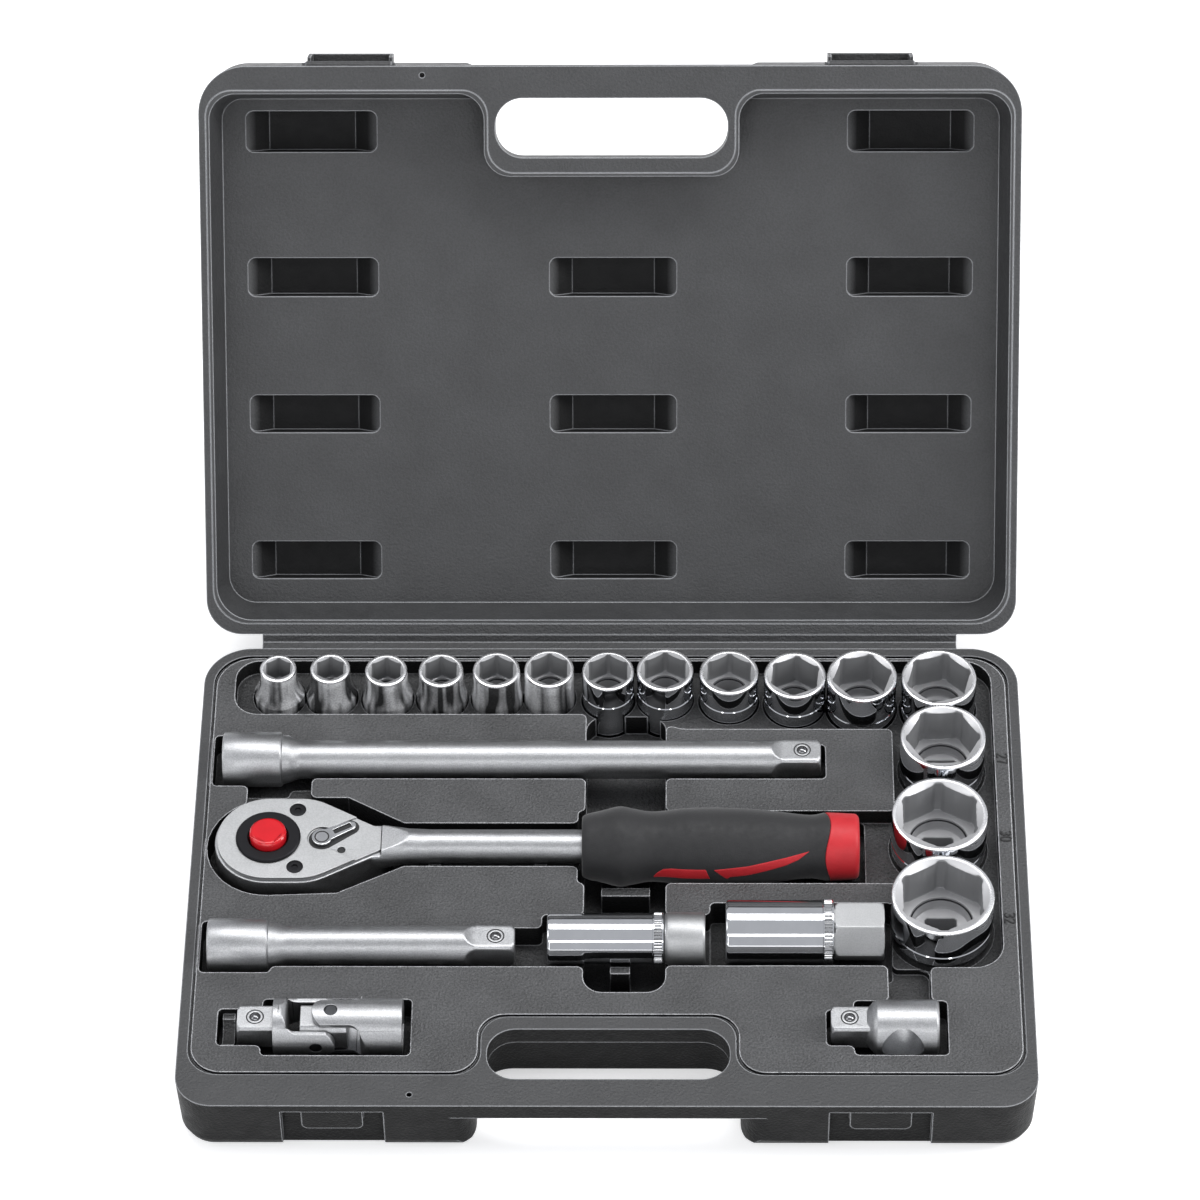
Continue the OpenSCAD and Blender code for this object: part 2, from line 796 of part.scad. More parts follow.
// Round head with a full-width shoulder, joined to a smaller round tip by its two tangents
function head_points(inset) = let (
    r0 = head_r - inset,
    r1 = tip_r - inset,
    lean = asin((r0 - r1) / (tip_x - shoulder_x)),
    back = [for (a = [180:-6:90]) r0 * [cos(a), sin(a)]],
    shoulder = [for (i = [0:4]) [shoulder_x + r0 * sin(i * lean / 4), r0 * cos(i * lean / 4)]],
    tip = [for (i = [0:8]) let (a = (90 - lean) * (1 - i / 8)) [tip_x + r1 * cos(a), r1 * sin(a)]],
    upper = concat(back, shoulder, tip)
) concat(upper, [for (i = [len(upper) - 2:-1:1]) [upper[i][0], -upper[i][1]]]);

module head_outline(inset = 0) {
    polygon(head_points(inset));
}

module ratchet_body() {
    run_out = 12;
    color("#aeb0b3") ratchet_place() difference() {
        union() {
            translate([0, 0, head_low]) linear_extrude(head_top - head_low) head_outline();
            // neck, shank and the tang inside the grip
            lying(tip_x - 8, 0, 0) rotate_extrude() polygon([
                [0, 0], [9.4, 0], [9, 12], [7.4, 24], [shank_d / 2, 34],
                [shank_d / 2, shank_end - tip_x + 8], [5.5, shank_end - tip_x + 8], [5.5, 180], [0, 180]
            ]);
        }
        translate([0, 0, cavity_low]) cylinder(r = cavity_r, h = 40);
        translate([0, 0, head_low - 1]) cylinder(r = neck_r + 0.1, h = 5);
        // room for the cover, then a flat that runs out on the neck
        translate([0, -30, head_top]) cube([cover_end + 0.3, 60, 20]);
        translate([cover_end, -30, cover_top]) rotate([0, -asin((shank_d / 2 - cover_top + 0.4) / run_out), 0])
            cube([run_out * 2, 60, 20]);
        pawl_pocket();
        screw_places() translate([0, 0, head_top - 7]) cylinder(r = 1.6, h = 8);
    }
}

module pawl_pocket() {
    translate([cavity_r - 2, -7, cavity_low]) cube([6, 14, 30]);
    translate([lever_x, 0, cavity_low]) cylinder(r = 5, h = 30);
}

module screw_places() {
    for (s = [-1, 1]) translate([screw_at[0], s * screw_at[1], 0]) children();
}

// The lower level that the lever swings on, open to the plate's narrow end
module fan() {
    reach = 40;
    side_x = lever_x + fan_r * sin(fan_half);
    side_y = fan_r * cos(fan_half);
    far_y = side_y + reach * tan(fan_half);
    translate([lever_x, 0]) circle(fan_r);
    polygon([[side_x, side_y], [side_x + reach, far_y], [side_x + reach, -far_y], [side_x, -side_y]]);
}

module ratchet_cover() {
    color("#b9bbbe") ratchet_place() difference() {
        translate([0, 0, head_top]) linear_extrude(cover_t) intersection() {
            head_outline(1);
            translate([-head_r, -head_r]) square([head_r + cover_end, 2 * head_r]);
        }
        translate([0, 0, head_top - 1]) cylinder(r = hub_r + 0.2, h = 5);
        translate([lever_x, 0, head_top - 1]) cylinder(r = lever_shaft_r + 0.1, h = 5);
        screw_places() translate([0, 0, head_top - 1]) cylinder(r = 1.7, h = 5);
        screw_places() translate([0, 0, cover_top - 1.2]) cylinder(r = screw_head_r + 0.1, h = 2);
        translate([0, 0, cover_top - fan_depth]) linear_extrude(2) fan();
        translate([30.4, -5.6, head_top - 1]) cylinder(r = 1.7, h = 5);
    }
}

module cover_screws() {
    color("#2a2a2c") ratchet_place() screw_places() difference() {
        union() {
            translate([0, 0, head_top - 6]) cylinder(r = 1.5, h = 7);
            translate([0, 0, cover_top - 1.15]) cylinder(r = screw_head_r, h = 1.1);
        }
        translate([0, 0, cover_top - 0.8]) cylinder(r = 1.4, h = 2, $fn = 6);
    }
}

// Drive gear with its hub above and the square anvil below
anvil_low = -27;
anvil_ball_z = -21;

module drive_gear() {
    color("#8f9194") ratchet_place() difference() {
        union() {
            translate([0, 0, cavity_low + 0.2]) linear_extrude(head_top - cavity_low - 0.5) gear_outline();
            translate([0, 0, 0]) cylinder(r = hub_r, h = cover_top + 0.2);
            translate([0, 0, head_low]) cylinder(r = neck_r, h = 4);
            translate([0, 0, head_low]) mirror([0, 0, 1]) male_square(head_low - anvil_low);
        }
        // button well, spring well and stem bore
        translate([0, 0, -1]) cylinder(r = well_r, h = 20);
        translate([0, 0, -9]) cylinder(r = 4.6, h = 10);
        translate([0, 0, anvil_ball_z + 3.2]) cylinder(r = stem_r + 0.2, h = 20);
        translate([0, 0, anvil_ball_z]) rotate([90, 0, 0]) translate([0, 0, 1.1])
            cylinder(r = ball_hole_r, h = 8);
    }
}

module gear_outline() {
    step = 360 / gear_teeth;
    polygon([for (i = [0:gear_teeth - 1]) for (k = [0, 1])
        (k == 0 ? gear_r : gear_r - 1.1) * [cos((i + k / 2) * step), sin((i + k / 2) * step)]]);
}

module retaining_ring() {
    color("#161617") ratchet_place() translate([0, 0, cover_top + 0.2]) rotate_extrude() polygon([
        [well_r + 0.1, 0], [13.4, 0], [13.4, 0.6], [12.8, 1.1], [well_r + 0.5, 1.1], [well_r + 0.1, 0.8]
    ]);
}

module release_button() {
    top = cover_top + 4.5;
    color("#c8202c") ratchet_place() {
        rotate_extrude() polygon([
            [0, 2], [button_r, 2], [button_r, top - 0.8], [button_r - 0.8, top], [0, top]
        ]);
        translate([0, 0, anvil_ball_z + 6]) cylinder(r = stem_r, h = -anvil_ball_z - 3.5);
    }
}

module button_spring() {
    color("#8c8c90") ratchet_place() translate([0, 0, -8.95]) difference() {
        cylinder(r = 4.4, h = 10.9);
        translate([0, 0, -1]) cylinder(r = 3.3, h = 14);
    }
}

module anvil_ball() {
    color("#b8b8ba") ratchet_place() translate([0, -ball_c, anvil_ball_z]) sphere(d = ball_d);
}

// Curved catch that turns with the reversing lever
module pawl() {
    color("#77797c") ratchet_place() difference() {
        translate([cavity_r - 1.5, -5, cavity_low + 0.3]) cube([4.4, 10, head_top - cavity_low - 0.8]);
        translate([0, 0, cavity_low]) cylinder(r = pawl_in, h = 40);
    }
}

module pawl_spring() {
    x = cavity_r + 3.1;
    color("#8c8c90") ratchet_place() lying(x, 0, -4) difference() {
        cylinder(r = 1.6, h = lever_x - lever_shaft_r - x - 0.15);
        translate([0, 0, -1]) cylinder(r = 1, h = 10);
    }
}

module reversing_lever() {
    tab_l = 15.5;
    low = cover_top - fan_depth + 0.1;
    t = 1.7;
    color("#c4c6c9") ratchet_place() translate([lever_x, 0, 0]) {
        translate([0, 0, -10]) cylinder(r = lever_shaft_r, h = low + 10.2);
        rotate([0, 0, lever_turn]) difference() {
            union() {
                translate([0, 0, low]) cylinder(r = 4.2, h = t);
                translate([tab_l - 2.4, 0, low]) cylinder(r = 2.4, h = t);
                translate([0, 0, low]) linear_extrude(t) polygon([
                    [0, -3.2], [tab_l - 2.4, -2.4], [tab_l - 2.4, 2.4], [0, 3.2]
                ]);
            }
            translate([5.5, -1.2, low + 0.8]) cube([tab_l - 7.5, 2.4, t]);
        }
    }
}

// Grip: radius along its length, [distance from its left end, radius]
grip_l = 101;
grip_points = [
    [0, 12.4], [0.8, 13.2], [8, 14.8], [15.5, 16.6], [21, 15.7], [27, 14.6], [32, 14.6],
    [42, 15.8], [54, 16.1], [68, 15.7], [80, 14.6], [91, 13.3], [96, 13.2], [grip_l, 14.2]
];

module grip_shape(g) {
    rotate_extrude() polygon(concat([[0, 0]], [for (p = grip_points) [p[1] + g, p[0]]], [[0, grip_l]]));
}

module grip_place() {
    translate([grip_x, ratchet_y, axis_z]) rotate([0, 90, 0]) children();
}

module ratchet_grip() {
    color("#232325") grip_place() difference() {
        grip_shape(0);
        translate([0, 0, -1]) cylinder(r = shank_d / 2 + 0.05, h = 7);
        translate([0, 0, -1]) cylinder(r = 5.55, h = grip_l + 2);
        inlay_strokes(0.05);
    }
}

module inlay_strokes(g) {
    rotate([0, 0, 14]) {
        translate([13 - g, -2.2 - g, 31 - g]) cube([8, 4.4 + 2 * g, 21 + 2 * g]);
        translate([13 - g, -2.2 - g, 54 - g]) rotate([8, 0, 0]) cube([8, 4.4 + 2 * g, 36 + 2 * g]);
    }
}

module grip_inlay() {
    color("#c8202c") grip_place() intersection() {
        grip_shape(0.15);
        inlay_strokes(0);
    }
}

module grip_cap() {
    color("#c8202c") grip_place() translate([0, 0, grip_l]) difference() {
        rotate_extrude() polygon([[0, 0], [14.2, 0], [13.6, 11.4], [12.2, 13.2], [0, 13.6]]);
        translate([0, 0, -1]) cylinder(r = 5.55, h = 8);
    }
}

// ---------- Universal joint ----------

fork_gap = 7.3;
ear_r = 7.6;
ear_half = 6.4;
ear_sweep = 4.2;
shoulder_r = 3.2;
fork_depth = 11.8;
pin_offset = 3;
male_body = 17.3;
female_body = 28.7;
joint_square = 14.6;
joint_ball_at = -pin_offset - male_body - joint_square / 2;

module joint_place() {
    translate([joint_x, joint_y, axis_z]) children();
}

// Round body on the left with two ears towards +X; the pins' holes run along Z through the origin
module yoke(body_l) {
    r = yoke_d / 2;
    difference() {
        lying(-body_l, 0, 0) cylinder(r = r, h = body_l + ear_r + 1);
        // fork, the ears' sides and their round tips
        translate([-fork_depth, -2 * r, -fork_gap]) cube([fork_depth + 20, 4 * r, 2 * fork_gap]);
        translate([0, 0, -2 * r]) linear_extrude(4 * r) for (s = [-1, 1])
            area(-fork_depth, 40, s > 0 ? ear_half : -4 * r, s > 0 ? 4 * r : -ear_half, ear_sweep);
        // rounded shoulders behind the ears
        for (s = [-1, 1]) difference() {
            translate([-fork_depth - shoulder_r, s > 0 ? r - shoulder_r : -r - 1, -2 * r])
                cube([shoulder_r + 1, shoulder_r + 1, 4 * r]);
            translate([-fork_depth - shoulder_r + 0.1, s * (r - shoulder_r - 0.1), -3 * r])
                cylinder(r = shoulder_r, h = 6 * r);
        }
        difference() {
            translate([0.5, -2 * r, -2 * r]) cube([20, 4 * r, 4 * r]);
            translate([0, 0, -3 * r]) cylinder(r = ear_r, h = 6 * r);
        }
        translate([0, 0, -20]) cylinder(r = pin_r + 0.05, h = 40);
    }
}

module joint_male_yoke() {
    color("#b4b6b9") joint_place() difference() {
        union() {
            translate([-pin_offset, 0, 0]) rotate([90, 0, 0]) yoke(male_body);
            translate([-pin_offset - male_body, 0, 0]) rotate([0, -90, 0]) male_square(joint_square);
        }
        translate([joint_ball_at, 0, 0]) detent_hole();
    }
}

module joint_ball() {
    joint_place() translate([joint_ball_at, 0, 0]) detent_ball();
}

module joint_spring() {
    joint_place() translate([joint_ball_at, 0, 0]) detent_spring();
}

module joint_female_yoke() {
    color("#b4b6b9") joint_place() translate([pin_offset, 0, 0]) difference() {
        mirror([1, 0, 0]) yoke(female_body);
        translate([female_body - drive_depth + 1, 0, 0]) rotate([0, 90, 0])
            square_prism(drive_hole, 0, drive_depth);
    }
}

// Block between the forks: one pin through each end, at right angles
module joint_block() {
    h = fork_gap - 0.3;
    l = pin_offset + 6.4;
    color("#8f9194") joint_place() difference() {
        intersection() {
            translate([-l, -h, -h]) cube([2 * l, 2 * h, 2 * h]);
            lying(-l, 0, 0) cylinder(r = h * 1.22, h = 2 * l);
        }
        translate([pin_offset, 0, -20]) cylinder(r = pin_r, h = 40);
        translate([-pin_offset, 20, 0]) rotate([90, 0, 0]) cylinder(r = pin_r, h = 40);
    }
}

module joint_pins() {
    l = yoke_d / 2 - 0.4;
    color("#2a2a2c") joint_place() {
        translate([pin_offset, 0, -l]) cylinder(r = pin_r, h = 2 * l);
        translate([-pin_offset, l, 0]) rotate([90, 0, 0]) cylinder(r = pin_r, h = 2 * l);
    }
}

// ---------- Cross-hole adaptor ----------

adaptor_r = 11.1;
adaptor_body = 26.4;
adaptor_end = 17;
cross_r = 8.3;

module adaptor_place() {
    lying(adaptor_x, adaptor_y, axis_z) children();
}

module cross_adaptor() {
    r = adaptor_r;
    color("#b4b6b9") adaptor_place() difference() {
        union() {
            translate([0, 0, adaptor_end]) rotate_extrude() polygon([
                [0, -2.5], [r - 4, -2.5], [r - 1, 0], [r, 1.5],
                [r, adaptor_body - 1], [r - 1, adaptor_body], [0, adaptor_body]
            ]);
            translate([0, 0, adaptor_end]) mirror([0, 0, 1]) male_square(adaptor_end);
        }
        translate([0, 20, adaptor_end + 11.8]) rotate([90, 0, 0]) cylinder(r = cross_r, h = 40);
        translate([0, 0, 7.5]) up_from_bar() detent_hole();
    }
}

module adaptor_ball() {
    adaptor_place() translate([0, 0, 7.5]) up_from_bar() detent_ball();
}

module adaptor_spring() {
    adaptor_place() translate([0, 0, 7.5]) up_from_bar() detent_spring();
}

// ---------- What is drawn ----------

base_shell();
tool_tray();
lid_shell();
lid_panel();
living_hinge();
latch_left();
latch_right();
for (s = SOCKETS) placed_socket(s);
plug_socket_16();
plug_insert_16();
plug_socket_21();
plug_insert_21();
long_extension();
long_extension_ball();
long_extension_spring();
short_extension();
short_extension_ball();
short_extension_spring();
ratchet_body();
ratchet_cover();
cover_screws();
retaining_ring();
release_button();
button_spring();
drive_gear();
anvil_ball();
pawl();
pawl_spring();
reversing_lever();
ratchet_grip();
grip_inlay();
grip_cap();
joint_male_yoke();
joint_block();
joint_pins();
joint_female_yoke();
joint_ball();
joint_spring();
cross_adaptor();
adaptor_ball();
adaptor_spring();
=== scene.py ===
"""Looks of a socket wrench set in an open carrying case.

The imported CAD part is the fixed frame. Case halves, ratchet, joint and adaptor keep their CAD meshes
and get softened edges. Sockets, bars, spark plug sockets, grip and cap are rebuilt as finely shaped pieces
in the same places.
"""

import math

import bpy
from mathutils import Matrix, Vector


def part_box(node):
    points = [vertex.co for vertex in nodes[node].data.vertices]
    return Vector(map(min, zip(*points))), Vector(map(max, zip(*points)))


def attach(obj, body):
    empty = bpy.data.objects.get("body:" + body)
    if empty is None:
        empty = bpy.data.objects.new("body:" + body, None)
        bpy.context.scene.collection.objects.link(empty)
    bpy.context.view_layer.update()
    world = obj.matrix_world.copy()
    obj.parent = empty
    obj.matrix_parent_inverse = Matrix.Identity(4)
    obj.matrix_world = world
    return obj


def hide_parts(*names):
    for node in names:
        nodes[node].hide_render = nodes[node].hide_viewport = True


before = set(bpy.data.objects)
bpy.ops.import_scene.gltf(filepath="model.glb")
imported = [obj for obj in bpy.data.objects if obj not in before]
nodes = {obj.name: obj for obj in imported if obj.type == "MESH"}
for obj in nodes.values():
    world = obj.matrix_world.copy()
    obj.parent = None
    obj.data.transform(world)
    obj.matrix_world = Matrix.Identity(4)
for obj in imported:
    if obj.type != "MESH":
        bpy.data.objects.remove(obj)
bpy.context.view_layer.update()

MM = 0.001
AROUND = 96            # points round a turned piece; 96 puts points on the corners of hexagons and squares
FINE_AROUND = 288      # points round a knurled piece
DRIVE_HOLE = 12.9 * MM
DRIVE_END = 12.6 * MM
HOLE_CORNER_R = 0.66 * DRIVE_HOLE
CORNER_R = 0.655 * DRIVE_END
SHARP = math.radians(28)
BALL_PROUD = 0.9 * MM              # how far a detent ball stands out of its square end
PIT_FADE = (0.8 * MM, 3.5 * MM)    # depths below the lid panel's face where the painted shade in its pits begins and where it is full
SOFT_EDGE_WIDTH = 0.8 * MM              # width of the rounded shading over plastic edges and of the pale painted highlight along them


# ---------- Meshes ----------

def centre(node):
    low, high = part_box(node)
    return [(a + b) / 2 for a, b in zip(low, high)]


def new_object(name, verts, faces, material, body=None, sharp=SHARP):
    """A smooth-shaded mesh object whose edges over the angle sharp stay sharp."""
    mesh = bpy.data.meshes.new(name)
    mesh.from_pydata(verts, [], faces)
    mesh.validate()
    mesh.polygons.foreach_set("use_smooth", [True] * len(mesh.polygons))
    mesh.set_sharp_from_angle(angle=sharp)
    mesh.materials.append(material)
    obj = bpy.data.objects.new(name, mesh)
    bpy.context.scene.collection.objects.link(obj)
    if body:
        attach(obj, body)
    return obj


def ring(radius, z, count=AROUND):
    """Points round the axis at height z. radius is a number or a function of the angle."""
    points = []
    for i in range(count):
        a = 2 * math.pi * i / count
        r = radius(a) if callable(radius) else radius
        points.append((r * math.cos(a), r * math.sin(a), z))
    return points


def loft(rings, closed=False):
    """Skin over the rings: closed joins the last to the first, else both ends are capped."""
    count = len(rings[0])
    verts = [p for r in rings for p in r]
    faces = []
    pairs = len(rings) if closed else len(rings) - 1
    for k in range(pairs):
        a, b = k * count, (k + 1) % len(rings) * count
        faces += [(a + i, a + (i + 1) % count, b + (i + 1) % count, b + i) for i in range(count)]
    if not closed:
        for start, ends in ((0, rings[0]), ((len(rings) - 1) * count, rings[-1])):
            middle = len(verts)
            verts.append(tuple(sum(p[k] for p in ends) / count for k in range(3)))
            for i in range(count):
                side = (start + i, start + (i + 1) % count, middle)
                faces.append(side[::-1] if start == 0 else side)
    return verts, faces


def moved(verts, matrix):
    return [tuple(matrix @ Vector(v)) for v in verts]


def polygon_radius(flat, sides, turn=0.0):
    """Distance to a regular polygon's edge: its flats are flat from the centre, one corner is at turn."""
    step = 2 * math.pi / sides

    def radius(a):
        return flat / math.cos((a - turn) % step - step / 2)
    return radius


def rounded(shape, limit):
    """The shape with its corners cut round at the radius limit."""
    return lambda a: min(shape(a), limit)


def square_hole(turn=math.pi / 4):
    """Outline of a 1/2 inch drive hole with rounded corners."""
    return rounded(polygon_radius(DRIVE_HOLE / 2, 4, turn), HOLE_CORNER_R)


def knurl(radius, z, depth, teeth, pitch):
    """Radius with crossed helical grooves."""
    def at(a):
        left = abs(((a * teeth / math.tau + z / pitch) % 1) - 0.5)
        right = abs(((a * teeth / math.tau - z / pitch) % 1) - 0.5)
        return radius - depth * 2 * max(0.5 - left - 0.15, 0.5 - right - 0.15, 0)
    return at


def up_axis(x, y, z, turn=0.0):
    return Matrix.Translation((x, y, z)) @ Matrix.Rotation(turn, 4, "Z")


def along_x(x, y, z, way=1):
    """Lays a piece made along +Z on +X, or on -X with way = -1, with its local +X pointing up."""
    return Matrix.Translation((x, y, z)) @ Matrix.Rotation(way * math.pi / 2, 4, "Y") @ \
        Matrix.Rotation(math.pi if way > 0 else 0, 4, "Z")


def smooth_steps(z0, z1, r0, r1, count):
    """(radius, z) of rings along an S-shaped change of radius, from just after z0 up to z1."""
    out = []
    for i in range(1, count + 1):
        t = i / count
        out.append((r0 + (r1 - r0) * t * t * (3 - 2 * t), z0 + (z1 - z0) * t))
    return out


# ---------- Materials ----------

def shader(name, **sockets):
    mat = bpy.data.materials.new(name)
    mat.use_nodes = True
    tree = mat.node_tree
    bsdf = next(n for n in tree.nodes if n.type == "BSDF_PRINCIPLED")
    for key, value in sockets.items():
        bsdf.inputs[key.replace("_", " ")].default_value = value
    return mat, tree, bsdf


def noise(tree, scale, detail=3.0, stretch=None, roughness=0.55):
    """Noise in the piece's own metres; stretch squeezes it along an axis."""
    coords = tree.nodes.new("ShaderNodeTexCoord")
    node = tree.nodes.new("ShaderNodeTexNoise")
    node.inputs["Scale"].default_value = scale
    node.inputs["Detail"].default_value = detail
    node.inputs["Roughness"].default_value = roughness
    if stretch:
        mapping = tree.nodes.new("ShaderNodeMapping")
        mapping.inputs["Scale"].default_value = stretch
        tree.links.new(coords.outputs["Object"], mapping.inputs["Vector"])
        tree.links.new(mapping.outputs["Vector"], node.inputs["Vector"])
    else:
        tree.links.new(coords.outputs["Object"], node.inputs["Vector"])
    return node.outputs["Fac"]


def ramp(tree, factor, stops):
    """Colour ramp through stops of (position, grey or colour)."""
    node = tree.nodes.new("ShaderNodeValToRGB")
    elements = node.color_ramp.elements
    while len(elements) < len(stops):
        elements.new(0.5)
    for element, (at, value) in zip(elements, stops):
        element.position = at
        element.color = (*value, 1) if isinstance(value, tuple) else (value, value, value, 1)
    tree.links.new(factor, node.inputs["Fac"])
    return node.outputs["Color"]


def remap(tree, factor, low, high):
    """Spreads the middle of a noise over low to high."""
    node = tree.nodes.new("ShaderNodeMapRange")
    node.inputs["From Min"].default_value = 0.3
    node.inputs["From Max"].default_value = 0.7
    node.inputs["To Min"].default_value = low
    node.inputs["To Max"].default_value = high
    tree.links.new(factor, node.inputs["Value"])
    return node.outputs["Result"]


def soft_edges(tree, radius):
    """Normal that turns smoothly over every edge within radius."""
    node = tree.nodes.new("ShaderNodeBevel")
    node.samples = 6
    node.inputs["Radius"].default_value = radius
    return node.outputs["Normal"]


def bump(tree, bsdf, layers, last=None):
    """Stacked bumps: (height output, strength, distance), over the normal last."""
    for height, strength, distance in layers:
        node = tree.nodes.new("ShaderNodeBump")
        node.inputs["Strength"].default_value = strength
        node.inputs["Distance"].default_value = distance
        tree.links.new(height, node.inputs["Height"])
        if last:
            tree.links.new(last, node.inputs["Normal"])
        last = node.outputs["Normal"]
    tree.links.new(last, bsdf.inputs["Normal"])


def near_edge(tree, rounded_normal):
    """0 on flats and 1 at edges, from how far the rounded normal leaves the true one."""
    true_normal = tree.nodes.new("ShaderNodeNewGeometry").outputs["Normal"]
    dot = tree.nodes.new("ShaderNodeVectorMath")
    dot.operation = "DOT_PRODUCT"
    tree.links.new(true_normal, dot.inputs[0])
    tree.links.new(rounded_normal, dot.inputs[1])
    mapper = tree.nodes.new("ShaderNodeMapRange")
    mapper.inputs["From Min"].default_value = 0.995
    mapper.inputs["From Max"].default_value = 0.90
    tree.links.new(dot.outputs["Value"], mapper.inputs["Value"])
    return mapper.outputs["Result"]


def times(tree, a, b):
    """Product of two outputs."""
    node = tree.nodes.new("ShaderNodeMath")
    node.operation = "MULTIPLY"
    tree.links.new(a, node.inputs[0])
    tree.links.new(b, node.inputs[1])
    return node.outputs["Value"]


def mix_colour(tree, factor, a, b):
    """a where factor is 0 and b where it is 1, each an output or a colour."""
    node = tree.nodes.new("ShaderNodeMix")
    node.data_type = "RGBA"
    tree.links.new(factor, node.inputs["Factor"])
    for socket, value in ((node.inputs[6], a), (node.inputs[7], b)):
        if isinstance(value, tuple):
            socket.default_value = (*value, 1)
        else:
            tree.links.new(value, socket)
    return node.outputs[2]


def speckled(tree, colour, scale, amount, stretch=None):
    """The colour with fine darker specks, or streaks where stretch draws them out."""
    node = tree.nodes.new("ShaderNodeMix")
    node.data_type = "RGBA"
    node.blend_type = "MULTIPLY"
    node.inputs["Factor"].default_value = 1
    dark, light = (1 - amount,) * 3, (1 + 0.3 * amount,) * 3
    specks = ramp(tree, noise(tree, scale, 1, stretch), [(0.38, dark), (0.6, light)])
    tree.links.new(colour, node.inputs[6])
    tree.links.new(specks, node.inputs[7])
    return node.outputs[2]


def face_plane(obj):
    """Normal and distance of the widest flat face of obj that looks up and to the front."""
    areas = {}
    for poly in obj.data.polygons:
        n = poly.normal
        if n.z > 0.1 and n.y < 0.1:
            key = (round(n.x, 2), round(n.y, 2), round(n.z, 2), round(n.dot(poly.center), 4))
            area, normal, level = areas.get(key, (0.0, n.copy(), n.dot(poly.center)))
            areas[key] = (area + poly.area, normal, level)
    _, normal, level = max(areas.values(), key=lambda found: found[0])
    return tuple(normal), level


def sunk_below(tree, plane, start, end):
    """0 on a plane and 1 from the depth end below it, fading in from the depth start."""
    normal, level = plane
    coords = tree.nodes.new("ShaderNodeTexCoord")
    along = tree.nodes.new("ShaderNodeVectorMath")
    along.operation = "DOT_PRODUCT"
    along.inputs[1].default_value = normal
    fade = tree.nodes.new("ShaderNodeMapRange")
    fade.inputs["From Min"].default_value = level - start
    fade.inputs["From Max"].default_value = level - end
    tree.links.new(coords.outputs["Object"], along.inputs[0])
    tree.links.new(along.outputs["Value"], fade.inputs["Value"])
    return fade.outputs["Result"]


def levelness(tree):
    """1 on level faces and 0 on upright walls of an object that lies flat."""
    coords = tree.nodes.new("ShaderNodeTexCoord")
    split = tree.nodes.new("ShaderNodeSeparateXYZ")
    size = tree.nodes.new("ShaderNodeMath")
    size.operation = "ABSOLUTE"
    tree.links.new(coords.outputs["Normal"], split.inputs[0])
    tree.links.new(split.outputs["Z"], size.inputs[0])
    return ramp(tree, size.outputs["Value"], [(0.25, 0.0), (0.75, 1.0)])


def occlusion(tree, reach):
    """1 in the open and towards 0 deep inside hollows and corners narrower than reach."""
    node = tree.nodes.new("ShaderNodeAmbientOcclusion")
    node.inputs["Distance"].default_value = reach
    node.samples = 8
    return node.outputs["AO"]


def moulded_plastic(name, dark, light, grain, rough=(0.42, 0.56), pebbles=900, reach=0.02, deep=0.15, edge=8,
                    specks=0.16, walls=1.0, plane=None):
    """Dull plastic with a pebbled grain, a painted highlight on its edges and painted shade in hollows
    narrower than reach.
    """
    mat, tree, bsdf = shader(name, Specular_IOR_Level=0.5)
    mottle = speckled(tree, ramp(tree, noise(tree, 45, 5), [(0.25, dark), (0.75, light)]), 1300, specks)
    # Painted shade: upright walls take the dark colour times walls, with less specular
    if walls < 1:
        level = levelness(tree)
        mottle = mix_colour(tree, level, tuple(c * walls for c in dark), mottle)
        tree.links.new(ramp(tree, level, [(0.0, 0.12), (1.0, 0.5)]), bsdf.inputs["Specular IOR Level"])
    # Painted shade: the lid panel's pits darken with depth below its face, with less specular
    if plane:
        pit_shade = sunk_below(tree, plane, *PIT_FADE)
        mottle = mix_colour(tree, pit_shade, mottle, tuple(c * 0.22 for c in dark))
        tree.links.new(ramp(tree, pit_shade, [(0.0, 0.5), (1.0, 0.15)]), bsdf.inputs["Specular IOR Level"])
    # Painted shade: colour darkens deep in hollows and corners narrower than reach, from ambient occlusion
    open_air = ramp(tree, occlusion(tree, reach), [(0.1, 0.0), (0.65, 1.0)])
    soft = soft_edges(tree, SOFT_EDGE_WIDTH)
    shaded = mix_colour(tree, open_air, tuple(c * deep for c in dark), mottle)
    # Painted highlight: edges turn pale where the rounded normal leaves the true one, except in hollows
    highlight_mask = times(tree, near_edge(tree, soft), open_air)
    highlighted = mix_colour(tree, highlight_mask, shaded, tuple(c * edge for c in light))
    tree.links.new(highlighted, bsdf.inputs["Base Color"])
    tree.links.new(remap(tree, noise(tree, 180, 4), *rough), bsdf.inputs["Roughness"])
    bump(tree, bsdf, [(noise(tree, 60, 4), 0.25, 0.0012), (noise(tree, pebbles, 3), grain, 0.0005)], soft)
    return mat


def metal(name, colour, rough, grain, scale=2500, mottle=0.04, metallic=1.0, corner_shade=0.0, relief=0.00004,
          specks=0.0, streaks=0.0):
    """grain is how far the fine surface pattern tilts the reflection, the corner shade the reach of painted
    shade in corners.
    """
    mat, tree, bsdf = shader(name, Metallic=metallic)
    light = tuple(min(1.0, c * (1 + mottle)) for c in colour)
    dark = tuple(c * (1 - mottle) for c in colour)
    plain = ramp(tree, noise(tree, 90, 4), [(0.3, dark), (0.7, light)])
    if specks:
        plain = speckled(tree, plain, scale, specks)
    # Painted reflection: light and dark streaks along the axis stand in for streaked reflections
    if streaks:
        plain = speckled(tree, plain, 1, streaks, (230, 230, 12))
    # Painted shade: colour darkens into corners and hollows within reach, from ambient occlusion
    if corner_shade:
        open_air = ramp(tree, occlusion(tree, corner_shade), [(0.15, 0.0), (0.65, 1.0)])
        plain = mix_colour(tree, open_air, tuple(c * 0.25 for c in colour), plain)
    tree.links.new(plain, bsdf.inputs["Base Color"])
    tree.links.new(remap(tree, noise(tree, 300, 5), *rough), bsdf.inputs["Roughness"])
    bump(tree, bsdf, [(noise(tree, scale, 2), grain, relief)])
    return mat


